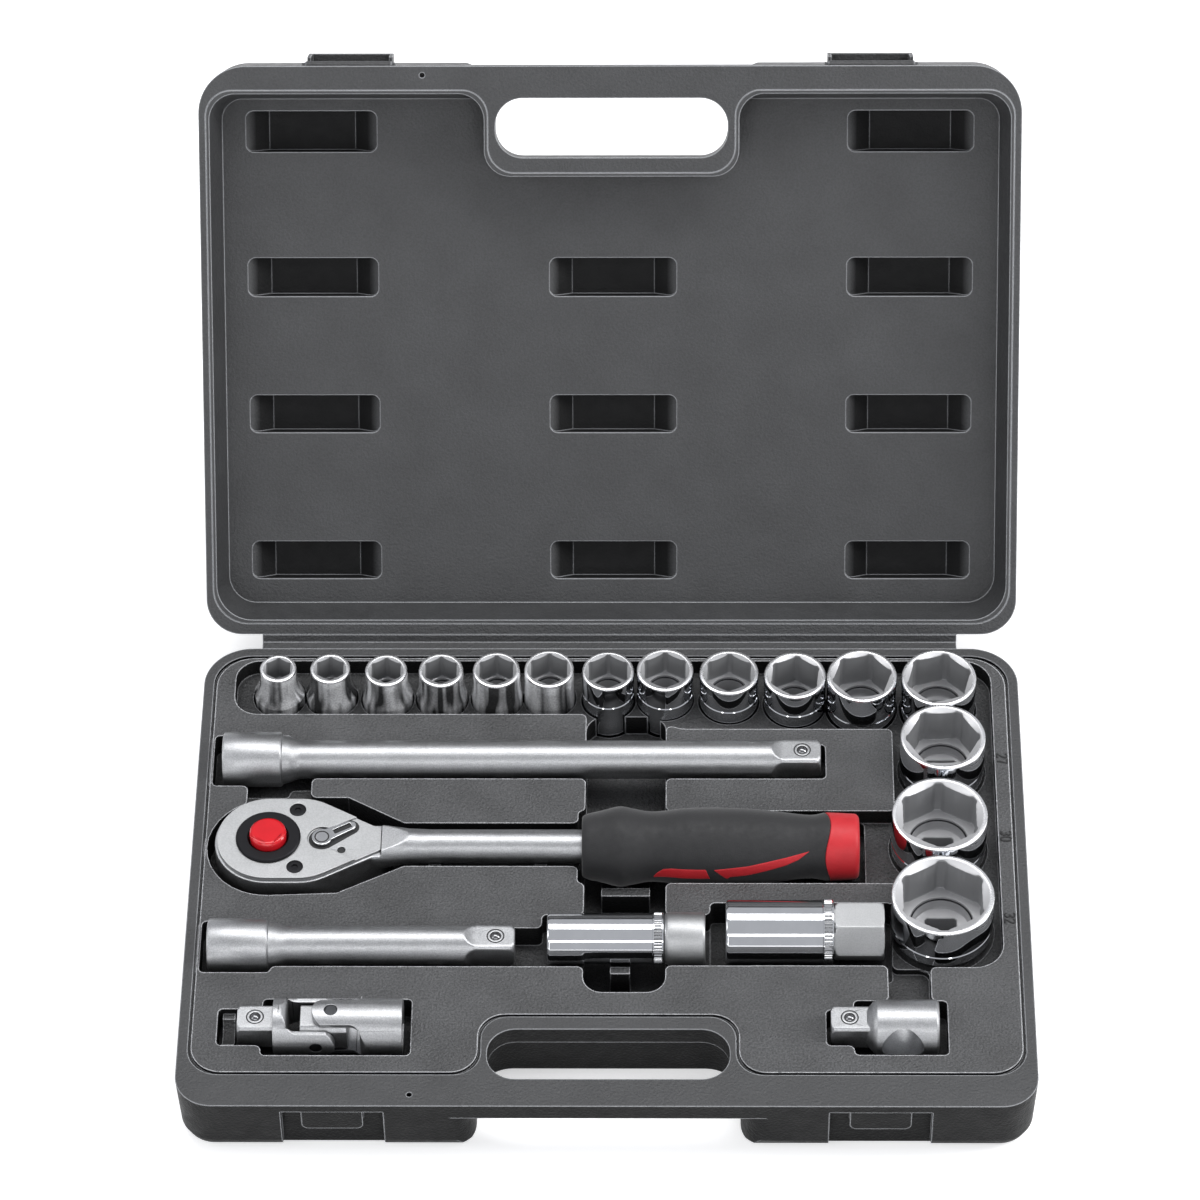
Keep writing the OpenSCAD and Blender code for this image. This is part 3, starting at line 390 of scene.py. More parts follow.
def rubber(name, colour, rough=(0.55, 0.72), grain=0.35, sheen=0.25):
    mat, tree, bsdf = shader(name, Specular_IOR_Level=0.4, Sheen_Weight=sheen, Sheen_Roughness=0.45)
    light = tuple(min(1.0, c * 1.25) for c in colour)
    tree.links.new(ramp(tree, noise(tree, 90, 5), [(0.3, colour), (0.75, light)]), bsdf.inputs["Base Color"])
    tree.links.new(remap(tree, noise(tree, 300, 4), *rough), bsdf.inputs["Roughness"])
    bump(tree, bsdf, [(noise(tree, 1900, 2), grain, 0.0002)])
    return mat


CASE_DARK, CASE_LIGHT = (0.036, 0.0365, 0.038), (0.048, 0.049, 0.051)
CASE = moulded_plastic("case_plastic", CASE_DARK, CASE_LIGHT, 1.0, reach=0.03, deep=0.08)
# Base: painted shade on its upright walls, which the lid's plastic lacks
BASE = moulded_plastic("base_plastic", CASE_DARK, CASE_LIGHT, 1.0, walls=0.15)
PANEL = moulded_plastic("lid_panel_plastic", (0.033, 0.0335, 0.035), (0.045, 0.046, 0.048), 0.6, (0.46, 0.60),
                        deep=0.3, plane=face_plane(nodes["lid_panel"]))
# Tray: painted shade on its upright pocket walls
TRAY = moulded_plastic("tray_plastic", (0.052, 0.0525, 0.054), (0.086, 0.087, 0.090), 2.0,
                       specks=0.36, walls=0.3)
NUMBER = moulded_plastic("number_plastic", (0.006, 0.006, 0.0065), (0.008, 0.008, 0.0085), 0.2, edge=1)
CHROME = metal("polished_chrome", (0.74, 0.75, 0.77), (0.05, 0.09), 0.02, 900)
# The chrome trim and both satin metals take painted shade in their corners
CHROME_TRIM = metal("chrome_trim", (0.60, 0.605, 0.615), (0.14, 0.20), 0.05, corner_shade=0.0015)
# Grainy satin socket bodies whose colour carries painted reflection streaks
SOCKET_BODY = metal("socket_body", (0.92, 0.925, 0.94), (0.12, 0.22), 0.8, 1600, metallic=0.6, relief=0.00006,
                    specks=0.25, streaks=0.92)
MOUTH = metal("socket_mouth", (0.86, 0.86, 0.87), (0.24, 0.32), 0.05)
HEX_WALL = metal("hexagon_walls", (0.30, 0.303, 0.31), (0.44, 0.50), 0.05, metallic=0.45)
# Paler than the hexagon walls, as a painted reflection on the ledge below the hexagon
LEDGE = metal("socket_ledge", (0.52, 0.52, 0.53), (0.34, 0.42), 0.15, 1800, metallic=0.5)
SATIN = metal("satin_chrome", (0.45, 0.455, 0.465), (0.36, 0.44), 0.8, 2100, corner_shade=0.003,
              relief=0.00007, specks=0.17)
SATIN_BRIGHT = metal("satin_plate", (0.45, 0.455, 0.46), (0.44, 0.52), 0.7, 2100, corner_shade=0.0018,
                     relief=0.00005, specks=0.10)
STEEL = metal("dark_steel", (0.06, 0.062, 0.066), (0.36, 0.5), 0.2)
# Darker than bare steel: the balls' dark reflection of the case front is painted into their colour
STEEL_BALL = metal("ball_steel", (0.22, 0.222, 0.228), (0.10, 0.16), 0.05)
BLACKENED = metal("blackened_steel", (0.022, 0.022, 0.024), (0.4, 0.55), 0.2)
SPRING = metal("spring_steel", (0.35, 0.35, 0.36), (0.2, 0.3), 0.1)
BLACK_RUBBER = rubber("black_rubber", (0.012, 0.012, 0.013))
RED_RUBBER = rubber("red_rubber", (0.42, 0.013, 0.019), (0.42, 0.55), 0.2, 0.1)
RED_GLOSS = rubber("red_button", (0.50, 0.010, 0.016), (0.10, 0.16), 0.03, 0.0)


# ---------- CAD nodes that stay ----------

def smooth_by_angle():
    """Geometry nodes that shade a mesh smooth except over its sharp edges."""
    group = bpy.data.node_groups.new("smooth_by_angle", "GeometryNodeTree")
    group.interface.new_socket("Geometry", in_out="INPUT", socket_type="NodeSocketGeometry")
    group.interface.new_socket("Geometry", in_out="OUTPUT", socket_type="NodeSocketGeometry")
    start, end = group.nodes.new("NodeGroupInput"), group.nodes.new("NodeGroupOutput")
    faces = group.nodes.new("GeometryNodeSetShadeSmooth")
    edges = group.nodes.new("GeometryNodeSetShadeSmooth")
    faces.domain, edges.domain = "FACE", "EDGE"
    angle, compare = group.nodes.new("GeometryNodeInputMeshEdgeAngle"), group.nodes.new("FunctionNodeCompare")
    compare.operation = "LESS_THAN"
    compare.inputs["B"].default_value = SHARP
    group.links.new(angle.outputs["Unsigned Angle"], compare.inputs["A"])
    group.links.new(compare.outputs["Result"], edges.inputs["Shade Smooth"])
    group.links.new(start.outputs[0], faces.inputs["Geometry"])
    group.links.new(faces.outputs["Geometry"], edges.inputs["Geometry"])
    group.links.new(edges.outputs["Geometry"], end.inputs[0])
    return group


SMOOTH = smooth_by_angle()


def finish_node(name, material, round_mm=0.0, segments=2):
    """Material and, where asked, rounded edges for a CAD node that stays in view."""
    obj = nodes[name]
    obj.data.materials.clear()
    obj.data.materials.append(material)
    weld = obj.modifiers.new("weld", "WELD")
    weld.merge_threshold = 1e-6
    if round_mm:
        bevel = obj.modifiers.new("rounded_edges", "BEVEL")
        bevel.width = round_mm * MM
        bevel.segments = segments
        bevel.limit_method = "ANGLE"
        bevel.angle_limit = SHARP
        bevel.use_clamp_overlap = False
        bevel.miter_outer = "MITER_ARC"
    shade = obj.modifiers.new("smooth", "NODES")
    shade.node_group = SMOOTH
    if round_mm:
        flat = obj.modifiers.new("flat_faces", "WEIGHTED_NORMAL")
        flat.keep_sharp = True
        flat.weight = 80


finish_node("base_shell", BASE)
finish_node("lid_shell", CASE)
finish_node("tool_tray", TRAY)
finish_node("lid_panel", PANEL)
finish_node("living_hinge", CASE)
finish_node("latch_left", CASE, 0.4)
finish_node("latch_right", CASE, 0.4)
finish_node("ratchet_body", SATIN, 0.6)
finish_node("ratchet_cover", SATIN_BRIGHT, 0.2)
finish_node("cover_screws", BLACKENED, 0.15)
finish_node("retaining_ring", BLACKENED, 0.15)
finish_node("release_button", RED_GLOSS, 0.9, 4)
finish_node("reversing_lever", CHROME_TRIM, 0.2, 2)
finish_node("drive_gear", STEEL, 0.2)
for name in ("joint_male_yoke", "joint_female_yoke", "joint_block", "cross_adaptor"):
    finish_node(name, SATIN, 0.3, 2)
finish_node("joint_pins", STEEL, 0.3)
finish_node("pawl", STEEL)
for name in ("long_extension_ball", "short_extension_ball", "anvil_ball", "joint_ball", "adaptor_ball"):
    finish_node(name, STEEL_BALL)
for name in ("long_extension_spring", "short_extension_spring", "button_spring", "pawl_spring",
             "joint_spring", "adaptor_spring"):
    finish_node(name, SPRING)
for name in ("plug_insert_16", "plug_insert_21"):
    finish_node(name, BLACK_RUBBER, 0.3)


# ---------- Sockets ----------

# size: (mouth diameter, drive end diameter, turn of the hexagon in degrees)
SOCKETS = {
    10: (15.5, 21.5, 90), 11: (17, 21.5, 90), 12: (18, 21.5, 90), 13: (19, 21.5, 90), 14: (20, 21.5, 90),
    15: (21, 21.5, 90), 16: (22, 22, 90), 17: (24, 23.5, 90), 18: (25, 24.8, 88), 19: (26.2, 26, 84),
    22: (29.4, 26.5, 72), 24: (31.5, 28, 76), 27: (35.5, 29, 2), 30: (39.5, 31, 90), 32: (42, 32, 90),
}
STREAKED_BELOW = 16            # smaller sockets have a grainy satin outside with painted reflection streaks, the others a mirror finish
SHORT_HEX_BELOW, SHORT_HEX = 19, 12 * MM
HEX_SHARE = 0.42               # depth of the other hexagons, as a share of the socket's length
RAISED_DRIVE_FROM, DRIVE_DEPTH = 22, 14 * MM
KNURLED = (16, 17)
KNURL_BAND = (21 * MM, 12.8 * MM)    # below the mouth
KNURL_DEPTH, KNURL_TEETH, KNURL_PITCH = 0.22 * MM, 56, 1.5 * MM
LEAD_IN_STEEPNESS = 2.2


def relieved_hexagon(flat, corner):
    """Hexagon with shallow grooves at its corners, which keep a bolt's corners free."""
    plain = polygon_radius(flat, 6)
    sector = math.pi / 3
    reach, relief, cap = math.radians(9.5), 0.03 * flat, corner - 0.012 * flat

    def radius(a):
        off = abs((a + sector / 2) % sector - sector / 2)
        t = min(max((reach - off) / (0.45 * reach), 0.0), 1.0)
        return min(plain(a) + relief * t, cap)
    return radius


def groove(r, z, width=0.9 * MM, depth=0.3 * MM):
    return [(r, z - width), (r - depth, z - width * 0.55), (r - depth, z - width * 0.45), (r, z)]


def outer_profile(mouth, drive, length):
    """Outside of a socket from its drive end up: rings of (radius, z)."""
    low = [(drive - 0.9 * MM, 0.0), (drive - 0.25 * MM, 0.25 * MM), (drive, 0.9 * MM)]
    rim = [(mouth, length - 0.8 * MM), (mouth - 0.25 * MM, length - 0.2 * MM), (mouth - 0.7 * MM, length)]
    if mouth < drive - 0.1 * MM:
        flare_low = length - 15 * MM
        middle = [(drive, flare_low - 2 * MM)]
        steps = 14
        for i in range(steps + 1):
            t = i / steps
            middle.append((mouth + (drive - mouth) * (1 - t) ** 2.2, flare_low + 10 * MM * t))
    elif mouth < drive + 1.2 * MM:
        middle = [(drive, length - 24 * MM)] + [(mouth, length - 22 * MM)]
        middle += groove(mouth, length - 11.5 * MM)
    else:
        shoulder = length - 24 * MM
        middle = [(drive, shoulder - 0.3 * MM), (drive + 0.15 * MM, shoulder)]
        top = shoulder + (mouth - drive) * 0.6
        middle += [(mouth - 0.4 * MM, top), (mouth, top + 0.6 * MM)]
        middle += groove(mouth, length - 15 * MM)
    return low + middle + rim


def make_socket(size):
    mouth_d, drive_d, turn = SOCKETS[size]
    node = f"socket_{size}"
    low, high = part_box(node)
    x, y, _ = centre(node)
    length = high[2] - low[2]
    mouth, drive = mouth_d / 2 * MM, drive_d / 2 * MM
    flat = (size + 0.2) / 2 * MM
    corner = flat / math.cos(math.pi / 6)
    depth = SHORT_HEX if size < SHORT_HEX_BELOW else HEX_SHARE * length
    bore = max(size * 0.385, 4) * MM
    floor = DRIVE_DEPTH if size < RAISED_DRIVE_FROM else length - depth - 5.5 * MM
    knurled = size in KNURLED
    count = FINE_AROUND if knurled else 2 * AROUND
    hexagon = relieved_hexagon(flat, corner)
    square = square_hole(math.pi / 4 - math.radians(turn))

    outside = outer_profile(mouth, drive, length)
    rings = []
    for r, z in outside:
        rings.append(ring(r, z, count))
    if knurled:
        band_low, band_high, steps = length - KNURL_BAND[0], length - KNURL_BAND[1], 40
        at = next(i for i, (_, z) in enumerate(outside) if z > band_high)
        band = []
        for i in range(steps + 1):
            z = band_low + (band_high - band_low) * i / steps
            edge = min(i, steps - i) > 1
            cut = knurl(mouth, z, KNURL_DEPTH, KNURL_TEETH, KNURL_PITCH)
            band.append(ring(cut if edge else mouth - 0.05 * MM, z, count))
        rings[at:at] = band
    first_inner = len(rings)
    lead = max(corner + 0.3 * MM, mouth - 1.7 * MM)
    steps = 9
    for i in range(steps):
        drop = (lead - flat + 0.3 * MM) * i / (steps - 1)
        z = length - drop / LEAD_IN_STEEPNESS
        rings.append(ring(lambda a, c=lead - drop: max(hexagon(a), c), z, count))
    bottom = length - depth
    rings.append(ring(hexagon, bottom + 0.25 * MM, count))
    ledge = len(rings)
    rings.append(ring(lambda a: hexagon(a) - 0.25 * MM, bottom, count))
    rings.append(ring(bore + 0.9 * MM, bottom - 0.15 * MM, count))
    undercut = len(rings)
    rings.append(ring(bore + 0.75 * MM, bottom - 0.9 * MM, count))
    rings.append(ring(bore + 0.1 * MM, bottom - 1.2 * MM, count))
    rings.append(ring(bore, bottom - 1.5 * MM, count))
    rings.append(ring(bore, floor + 0.8 * MM, count))
    rings.append(ring(bore - 0.5 * MM, floor + 0.1 * MM, count))
    rings.append(ring(lambda a: min(square(a), bore - 0.6 * MM) + 0.35 * MM, floor, count))
    rings.append(ring(lambda a: min(square(a), bore - 0.6 * MM), floor - 0.35 * MM, count))
    rings.append(ring(square, floor - 0.6 * MM, count))
    rings.append(ring(square, 0.8 * MM, count))
    rings.append(ring(lambda a: square(a) + 0.6 * MM, 0.0, count))
    verts, faces = loft(rings, closed=True)
    place = up_axis(x, y, low[2], math.radians(turn))
    obj = new_object(f"{node}_piece", moved(verts, place), [f[::-1] for f in faces],
                     SOCKET_BODY if size < STREAKED_BELOW else CHROME, node)
    for material in (MOUTH, HEX_WALL, LEDGE, BLACKENED):
        obj.data.materials.append(material)
    lead_in = first_inner + steps - 1
    cone = 2 if size < SHORT_HEX_BELOW else 3
    # The undercut groove's band takes blackened steel: painted shade in the groove
    slots = [(first_inner - 3, 0), (first_inner, 1), (lead_in, cone), (ledge, 2), (undercut, 3),
             (undercut + 1, 4), (len(rings), 3)]
    for poly in obj.data.polygons:
        band = poly.index // count
        poly.material_index = next(slot for end, slot in slots if band < end)
    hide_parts(node)


for size in SOCKETS:
    make_socket(size)


# ---------- Square ends ----------

def male_rings(start, length, bar_r, run_out=5 * MM):
    """Rings of a square end that starts at start, with flats that run out on a round bar behind it."""
    rings = []
    steps = 12
    for i in range(steps + 1):
        t = i / steps
        half = DRIVE_END / 2 + (bar_r - DRIVE_END / 2 + 0.05 * MM) * (1 - t) ** 2
        limit = bar_r + (CORNER_R - bar_r) * t
        rings.append(ring(rounded(polygon_radius(half, 4, math.pi / 4), limit), start - run_out * (1 - t)))
    tip = start + length
    square = polygon_radius(DRIVE_END / 2, 4, math.pi / 4)
    rings.append(ring(rounded(square, CORNER_R), tip - 1.6 * MM))
    rings.append(ring(rounded(square, CORNER_R - 0.35 * MM), tip - 1.0 * MM))
    rings.append(ring(rounded(square, CORNER_R - 0.95 * MM), tip - 0.4 * MM))
    rings.append(ring(lambda a: min(square(a) - 0.3 * MM, CORNER_R - 1.5 * MM), tip))
    return rings


def female_rings(outer, depth):
    """Rings of a square hole from its bottom to the chamfered mouth of a round end at z = 0."""
    square = square_hole()
    return [
        ring(square, depth), ring(square, 1.0 * MM), ring(lambda a: square(a) + 0.7 * MM, 0.0),
        ring(outer - 1.0 * MM, 0.0), ring(outer - 0.3 * MM, 0.3 * MM), ring(outer, 1.0 * MM),
    ]


def ball_seat(name, ball_node, body):
    """Dark rim of painted shade for the groove and gap round a detent ball, and a crimped ring, at the face
    of its square end.
    """
    x, y, _ = centre(ball_node)
    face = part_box(ball_node)[1][2] - BALL_PROUD
    rim = [(1.7, -0.6), (1.7, 0.02), (1.9, 0.05), (3.5, 0.05), (3.65, 0.02), (3.65, -0.6)]
    crimp = [(2.3, -0.4), (2.3, 0.10), (2.5, 0.16), (2.9, 0.16), (3.1, 0.10), (3.1, -0.4)]
    # The rim is a black sheet of painted shade, not dark steel
    parts = (("rim", rim, BLACK_RUBBER, "dark_steel"), ("crimp", crimp, SATIN, "satin_chrome"))
    for part, profile, material, slot in parts:
        verts, faces = loft([ring(r * MM, z * MM, 64) for r, z in profile], closed=True)
        new_object(f"{name}_{part}", moved(verts, up_axis(x, y, face)), faces, material, body)


def make_bar(node, female_d, bar_d=16.0, male_l=15.5):
    """Extension bar, square hole on the left and square end on the right. Sizes in millimetres."""
    low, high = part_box(node)
    _, y, z = centre(node)
    length = high[0] - low[0]
    female, bar = female_d / 2 * MM, bar_d / 2 * MM
    collar = 25 * MM
    rings = female_rings(female, 16 * MM)
    rings += [ring(female, collar - 1.2 * MM), ring(female - 0.35 * MM, collar - 0.5 * MM),
              ring(female - 1.1 * MM, collar)]
    for r, at in smooth_steps(collar + 0.2 * MM, collar + 8 * MM, female - 1.4 * MM, bar, 8):
        rings.append(ring(r, at))
    start = length - male_l * MM
    rings.append(ring(bar, start - 6 * MM))
    rings += male_rings(start, male_l * MM, bar)
    verts, faces = loft(rings)
    obj = new_object(f"{node}_piece", moved(verts, along_x(low[0], y, z)), faces, SATIN, node)
    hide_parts(node)
    ball_seat(f"{node}_ball_seat", f"{node}_ball", node)


make_bar("long_extension", 23.0)
make_bar("short_extension", 22.0)
ball_seat("joint_ball_seat", "joint_ball", "joint_male")
ball_seat("adaptor_ball_seat", "adaptor_ball", "adaptor")


# ---------- Spark plug sockets ----------

def make_plug_socket(size, mouth, drive, collar, hexed):
    """Plug socket with its drive end on the right, built from that end's face towards the mouth."""
    node = f"plug_socket_{size}"
    low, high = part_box(node)
    _, y, z = centre(node)
    length = high[0] - low[0]
    count = FINE_AROUND
    square = square_hole()
    head = polygon_radius(drive * math.cos(math.pi / 6), 6, math.pi / 6) if hexed else lambda a: drive
    outside = []
    for inset, at in ((1.3, 0.0), (0.55, 0.3), (0.15, 0.9), (0.0, 1.6)):
        outside.append(ring(lambda a, i=inset * MM: min(head(a), drive - i), at * MM, count))
    for inset, at in ((0.0, 1.9), (0.25, 1.3), (0.7, 0.7), (1.4, 0.1)):
        outside.append(ring(lambda a, i=inset * MM: min(head(a), drive - i), collar - at * MM, count))
    band = 4.6 * MM
    rib = [mouth + (0.3, 0.3, 0.3, 0.1, -0.25, 0.1)[i % 6] * MM for i in range(count)]
    for at, inset in ((0.0, 0.5), (0.25, 0.0), (0.7, 0.0)):
        outside.append(ring(mouth + (0.3 - inset) * MM, collar + at * MM, count))
    for at in (0.75 * MM, band - 0.75 * MM):
        outside.append(ring(lambda a: rib[round(a * count / math.tau) % count], collar + at, count))
    for at, inset in ((0.7, 0.0), (0.25, 0.0), (0.0, 0.3)):
        outside.append(ring(mouth + (0.3 - inset) * MM, collar + band - at * MM, count))
    knurled = len(outside) - 5
    outside += [ring(mouth, collar + band + at * MM, count) for at in (0.3, 0.6, 1.0)]
    outside += [ring(mouth, length - 1.3 * MM, count), ring(mouth, length - 0.9 * MM, count),
                ring(mouth - 0.3 * MM, length - 0.25 * MM, count), ring(mouth - 0.9 * MM, length, count)]
    flat = (size + 0.2) / 2 * MM
    hexagon = polygon_radius(flat, 6, math.pi / 6)
    lead = flat / math.cos(math.pi / 6) + 0.3 * MM
    inside = []
    for i in range(7):
        at = i * 0.3 * MM
        inside.append(ring(lambda a, c=lead - at * 1.1: max(hexagon(a), c), length - at, count))
    inner = size * 0.44 * MM
    inside += [ring(hexagon, length - 20 * MM, count), ring(inner, length - 20.3 * MM, count),
               ring(inner, 16 * MM, count), ring(square, 15.9 * MM, count), ring(square, 0.9 * MM, count),
               ring(lambda a: square(a) + 0.6 * MM, 0.0, count)]
    verts, faces = loft(outside + inside, closed=True)
    obj = new_object(f"{node}_piece", moved(verts, along_x(high[0], y, z, -1)), [f[::-1] for f in faces],
                     CHROME, node)
    for material in (SATIN_BRIGHT, HEX_WALL, CHROME_TRIM):
        obj.data.materials.append(material)
    for poly in obj.data.polygons:
        ring_at = poly.index // count
        if ring_at < 7:
            poly.material_index = 1
        elif ring_at >= len(outside):
            poly.material_index = 2
        elif knurled - 1 <= ring_at <= knurled + 1:
            poly.material_index = 3
    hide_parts(node)


make_plug_socket(16, mouth=10.4 * MM, drive=10.8 * MM, collar=17 * MM, hexed=False)
make_plug_socket(21, mouth=13 * MM, drive=12.6 * MM, collar=20.5 * MM, hexed=True)


# ---------- Painted shade lines of the reversing lever ---

LEVER_TURN = math.radians(28.8)
LEVER_REACH = 13.1 * MM        # from the lever's shaft to the middle of its round tip
LEVER_TIP_R = 2.4 * MM
LEVER_ROOT_R = 4.2 * MM
# how far the lever's painted shadow reaches beyond the lever
SHADOW_MARGIN = 1.3 * MM
SLOT = (5.7 * MM, 13.3 * MM, 1.1 * MM)    # start, end and half width of the slot in the thumb piece
OIL_HOLE = (8.2 * MM, -5.6 * MM)          # from the lever's shaft


def lever_slab(name, outline, shaft, levels, body):
    """Thin dark slab of painted shade, with an outline in the lever's own directions, between two levels."""
    cos_t, sin_t = math.cos(LEVER_TURN), math.sin(LEVER_TURN)
    n = len(outline)
    verts = [(shaft[0] + u * cos_t - v * sin_t, shaft[1] + u * sin_t + v * cos_t, level)
             for level in levels for u, v in outline]
    faces = [tuple(range(n))[::-1], tuple(range(n, 2 * n))]
    faces += [(i, (i + 1) % n, n + (i + 1) % n, n + i) for i in range(n)]
    new_object(name, verts, faces, BLACK_RUBBER, body)


def dark_ring(name, profile, place, body):
    """Turned dark piece of painted shade with a profile of (radius, height) in millimetres."""
    verts, faces = loft([ring(r * MM, z * MM, AROUND) for r, z in profile], closed=True)
    new_object(name, moved(verts, place), faces, BLACK_RUBBER, body)


def arc(x, radius, start, end, steps=32):
    turns = [start + (end - start) * i / steps for i in range(steps + 1)]
    return [(x + radius * math.cos(a), radius * math.sin(a)) for a in turns]


def make_lever_lines():
    """Painted shadow a little wider than the lever, painted shade ringing its boss and on the floor of its
    slot and of the oil hole.
    """
    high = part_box("reversing_lever")[1]
    top = high[2]
    shaft = (high[0] - LEVER_TIP_R - LEVER_REACH * math.cos(LEVER_TURN), centre("ratchet_cover")[1])
    root, tip = LEVER_ROOT_R + SHADOW_MARGIN, LEVER_TIP_R + SHADOW_MARGIN
    side = math.acos((root - tip) / LEVER_REACH)
    outline = arc(0, root, side, math.tau - side) + arc(LEVER_REACH, tip, -side, side)
    # Painted shadow round the lever; the pieces after it are painted shade in its ring, slot and oil hole
    lever_slab("lever_shadow_piece", outline, shaft, (top - 1.82 * MM, top - 1.75 * MM), "ratchet")
    dark_ring("lever_boss_shade_piece", ((2.5, -0.3), (2.5, 0.04), (3.1, 0.04), (3.1, -0.3)), up_axis(*shaft, top),
              "reversing_lever")
    start, end, half = SLOT
    lever_slab("lever_slot_shade_piece", [(start, -half), (end, -half), (end, half), (start, half)], shaft,
               (top - 0.85 * MM, top - 0.70 * MM), "reversing_lever")
    hole = up_axis(shaft[0] + OIL_HOLE[0], shaft[1] + OIL_HOLE[1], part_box("ratchet_cover")[0][2])
    dark_ring("oil_hole_shade_piece", ((0.01, 0.1), (0.01, 0.5), (1.6, 0.5), (1.6, 0.1)), hole, "ratchet")


make_lever_lines()


# ---------- Size numbers on the tray's right edge ----------

# Strokes of each digit on a grid 2 wide and 4 high
DIGITS = {
    "0": [[(0, 3), (0.3, 3.8), (1, 4), (1.7, 3.8), (2, 3), (2, 1), (1.7, 0.2), (1, 0), (0.3, 0.2), (0, 1),
           (0, 3)]],
    "2": [[(0, 3.2), (0.3, 3.8), (1, 4), (1.8, 3.7), (2, 3), (1.6, 2.2), (0, 0), (2, 0)]],
    "3": [[(0, 3.6), (0.6, 4), (1.5, 3.9), (2, 3.1), (1.6, 2.3), (0.8, 2.1)],
          [(0.8, 2.1), (1.8, 1.8), (2, 1), (1.5, 0.2), (0.7, 0), (0, 0.5)]],
    "7": [[(0, 4), (2, 4), (1.2, 2), (0.8, 0)]],
}
DIGIT_H = 4.2 * MM
DIGIT_STEP = 3.1 * MM
NUMBER_X = 164.2 * MM


def make_number(size, x):
    """Raised digits that read towards the front, with their tops to the right."""
    _, y, _ = centre(f"socket_{size}")
    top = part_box("tool_tray")[1][2]
    curve = bpy.data.curves.new(f"size_number_{size}", "CURVE")
    curve.dimensions = "3D"
    curve.bevel_depth = 0.4 * MM
    curve.bevel_resolution = 2
    curve.use_fill_caps = True
    unit = DIGIT_H / 4
    for place, digit in enumerate(str(size)):
        for stroke in DIGITS[digit]:
            line = curve.splines.new("POLY")
            line.points.add(len(stroke) - 1)
            for point, (u, v) in zip(line.points, stroke):
                down = place * DIGIT_STEP + u * unit
                point.co = (x + v * unit - DIGIT_H / 2, y + DIGIT_STEP - down, top, 1)
    curve.materials.append(NUMBER)
    obj = bpy.data.objects.new(f"size_number_{size}_piece", curve)
    bpy.context.scene.collection.objects.link(obj)
    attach(obj, "case")


for size in (27, 30, 32):
    make_number(size, NUMBER_X)


# ---------- Ratchet grip ----------

# Radius of the grip along its length: (millimetres from its left end, radius)
GRIP = [(0, 12.4), (0.8, 13.2), (8, 14.8), (15.5, 16.6), (21, 15.7), (27, 14.6), (32, 14.6), (42, 15.8),
        (54, 16.1), (68, 15.7), (80, 14.6), (91, 13.3), (96, 13.2), (101, 14.2)]
GRIP_END = 98 * MM             # where the cap begins to cover the grip
GRIP_FRONT = 1.2 * MM          # end of the rounded front edge
CAP_EDGE, WAVE = 101.3 * MM, 1.1 * MM
CAP_WALL = (14.2 * MM, 13.6 * MM)    # radius at its wavy edge and where its end begins to round


def spline(points, at):
    """Value at a place on the smooth curve through points of (place, value), flat outside them."""
    if at <= points[0][0]:
        return points[0][1]
    for k in range(len(points) - 1):
        x0, y0 = points[k]
        x1, y1 = points[k + 1]
        if at <= x1:
            before = points[max(k - 1, 0)]
            after = points[min(k + 2, len(points) - 1)]
            slope0 = (y1 - before[1]) / (x1 - before[0])
            slope1 = (after[1] - y0) / (after[0] - x0)
            h = x1 - x0
            t = (at - x0) / h
            return ((2 * t ** 3 - 3 * t * t + 1) * y0 + (t ** 3 - 2 * t * t + t) * h * slope0
                    + (3 * t * t - 2 * t ** 3) * y1 + (t ** 3 - t * t) * h * slope1)
    return points[-1][1]


GRIP_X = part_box("ratchet_grip")[0][0]
GRIP_Y = centre("ratchet_grip")[1]
GRIP_Z = centre("long_extension")[2]


def grip_radius(at):
    return spline(GRIP, at / MM) * MM


def cap_edge(a):
    """Where the cap's wavy edge lies along the grip, by angle from straight back over the top."""
    return CAP_EDGE + WAVE * math.cos(3 * (a - math.pi / 2))


def round_grip(a, r, at):
    """Point on the grip: angle a runs from +Y over +Z."""
    return (GRIP_X + at, GRIP_Y + r * math.cos(a), GRIP_Z + r * math.sin(a))


def grip_rings(stations, count=128):
    return [[round_grip(2 * math.pi * i / count, *station(2 * math.pi * i / count)) for i in range(count)]
            for station in stations]


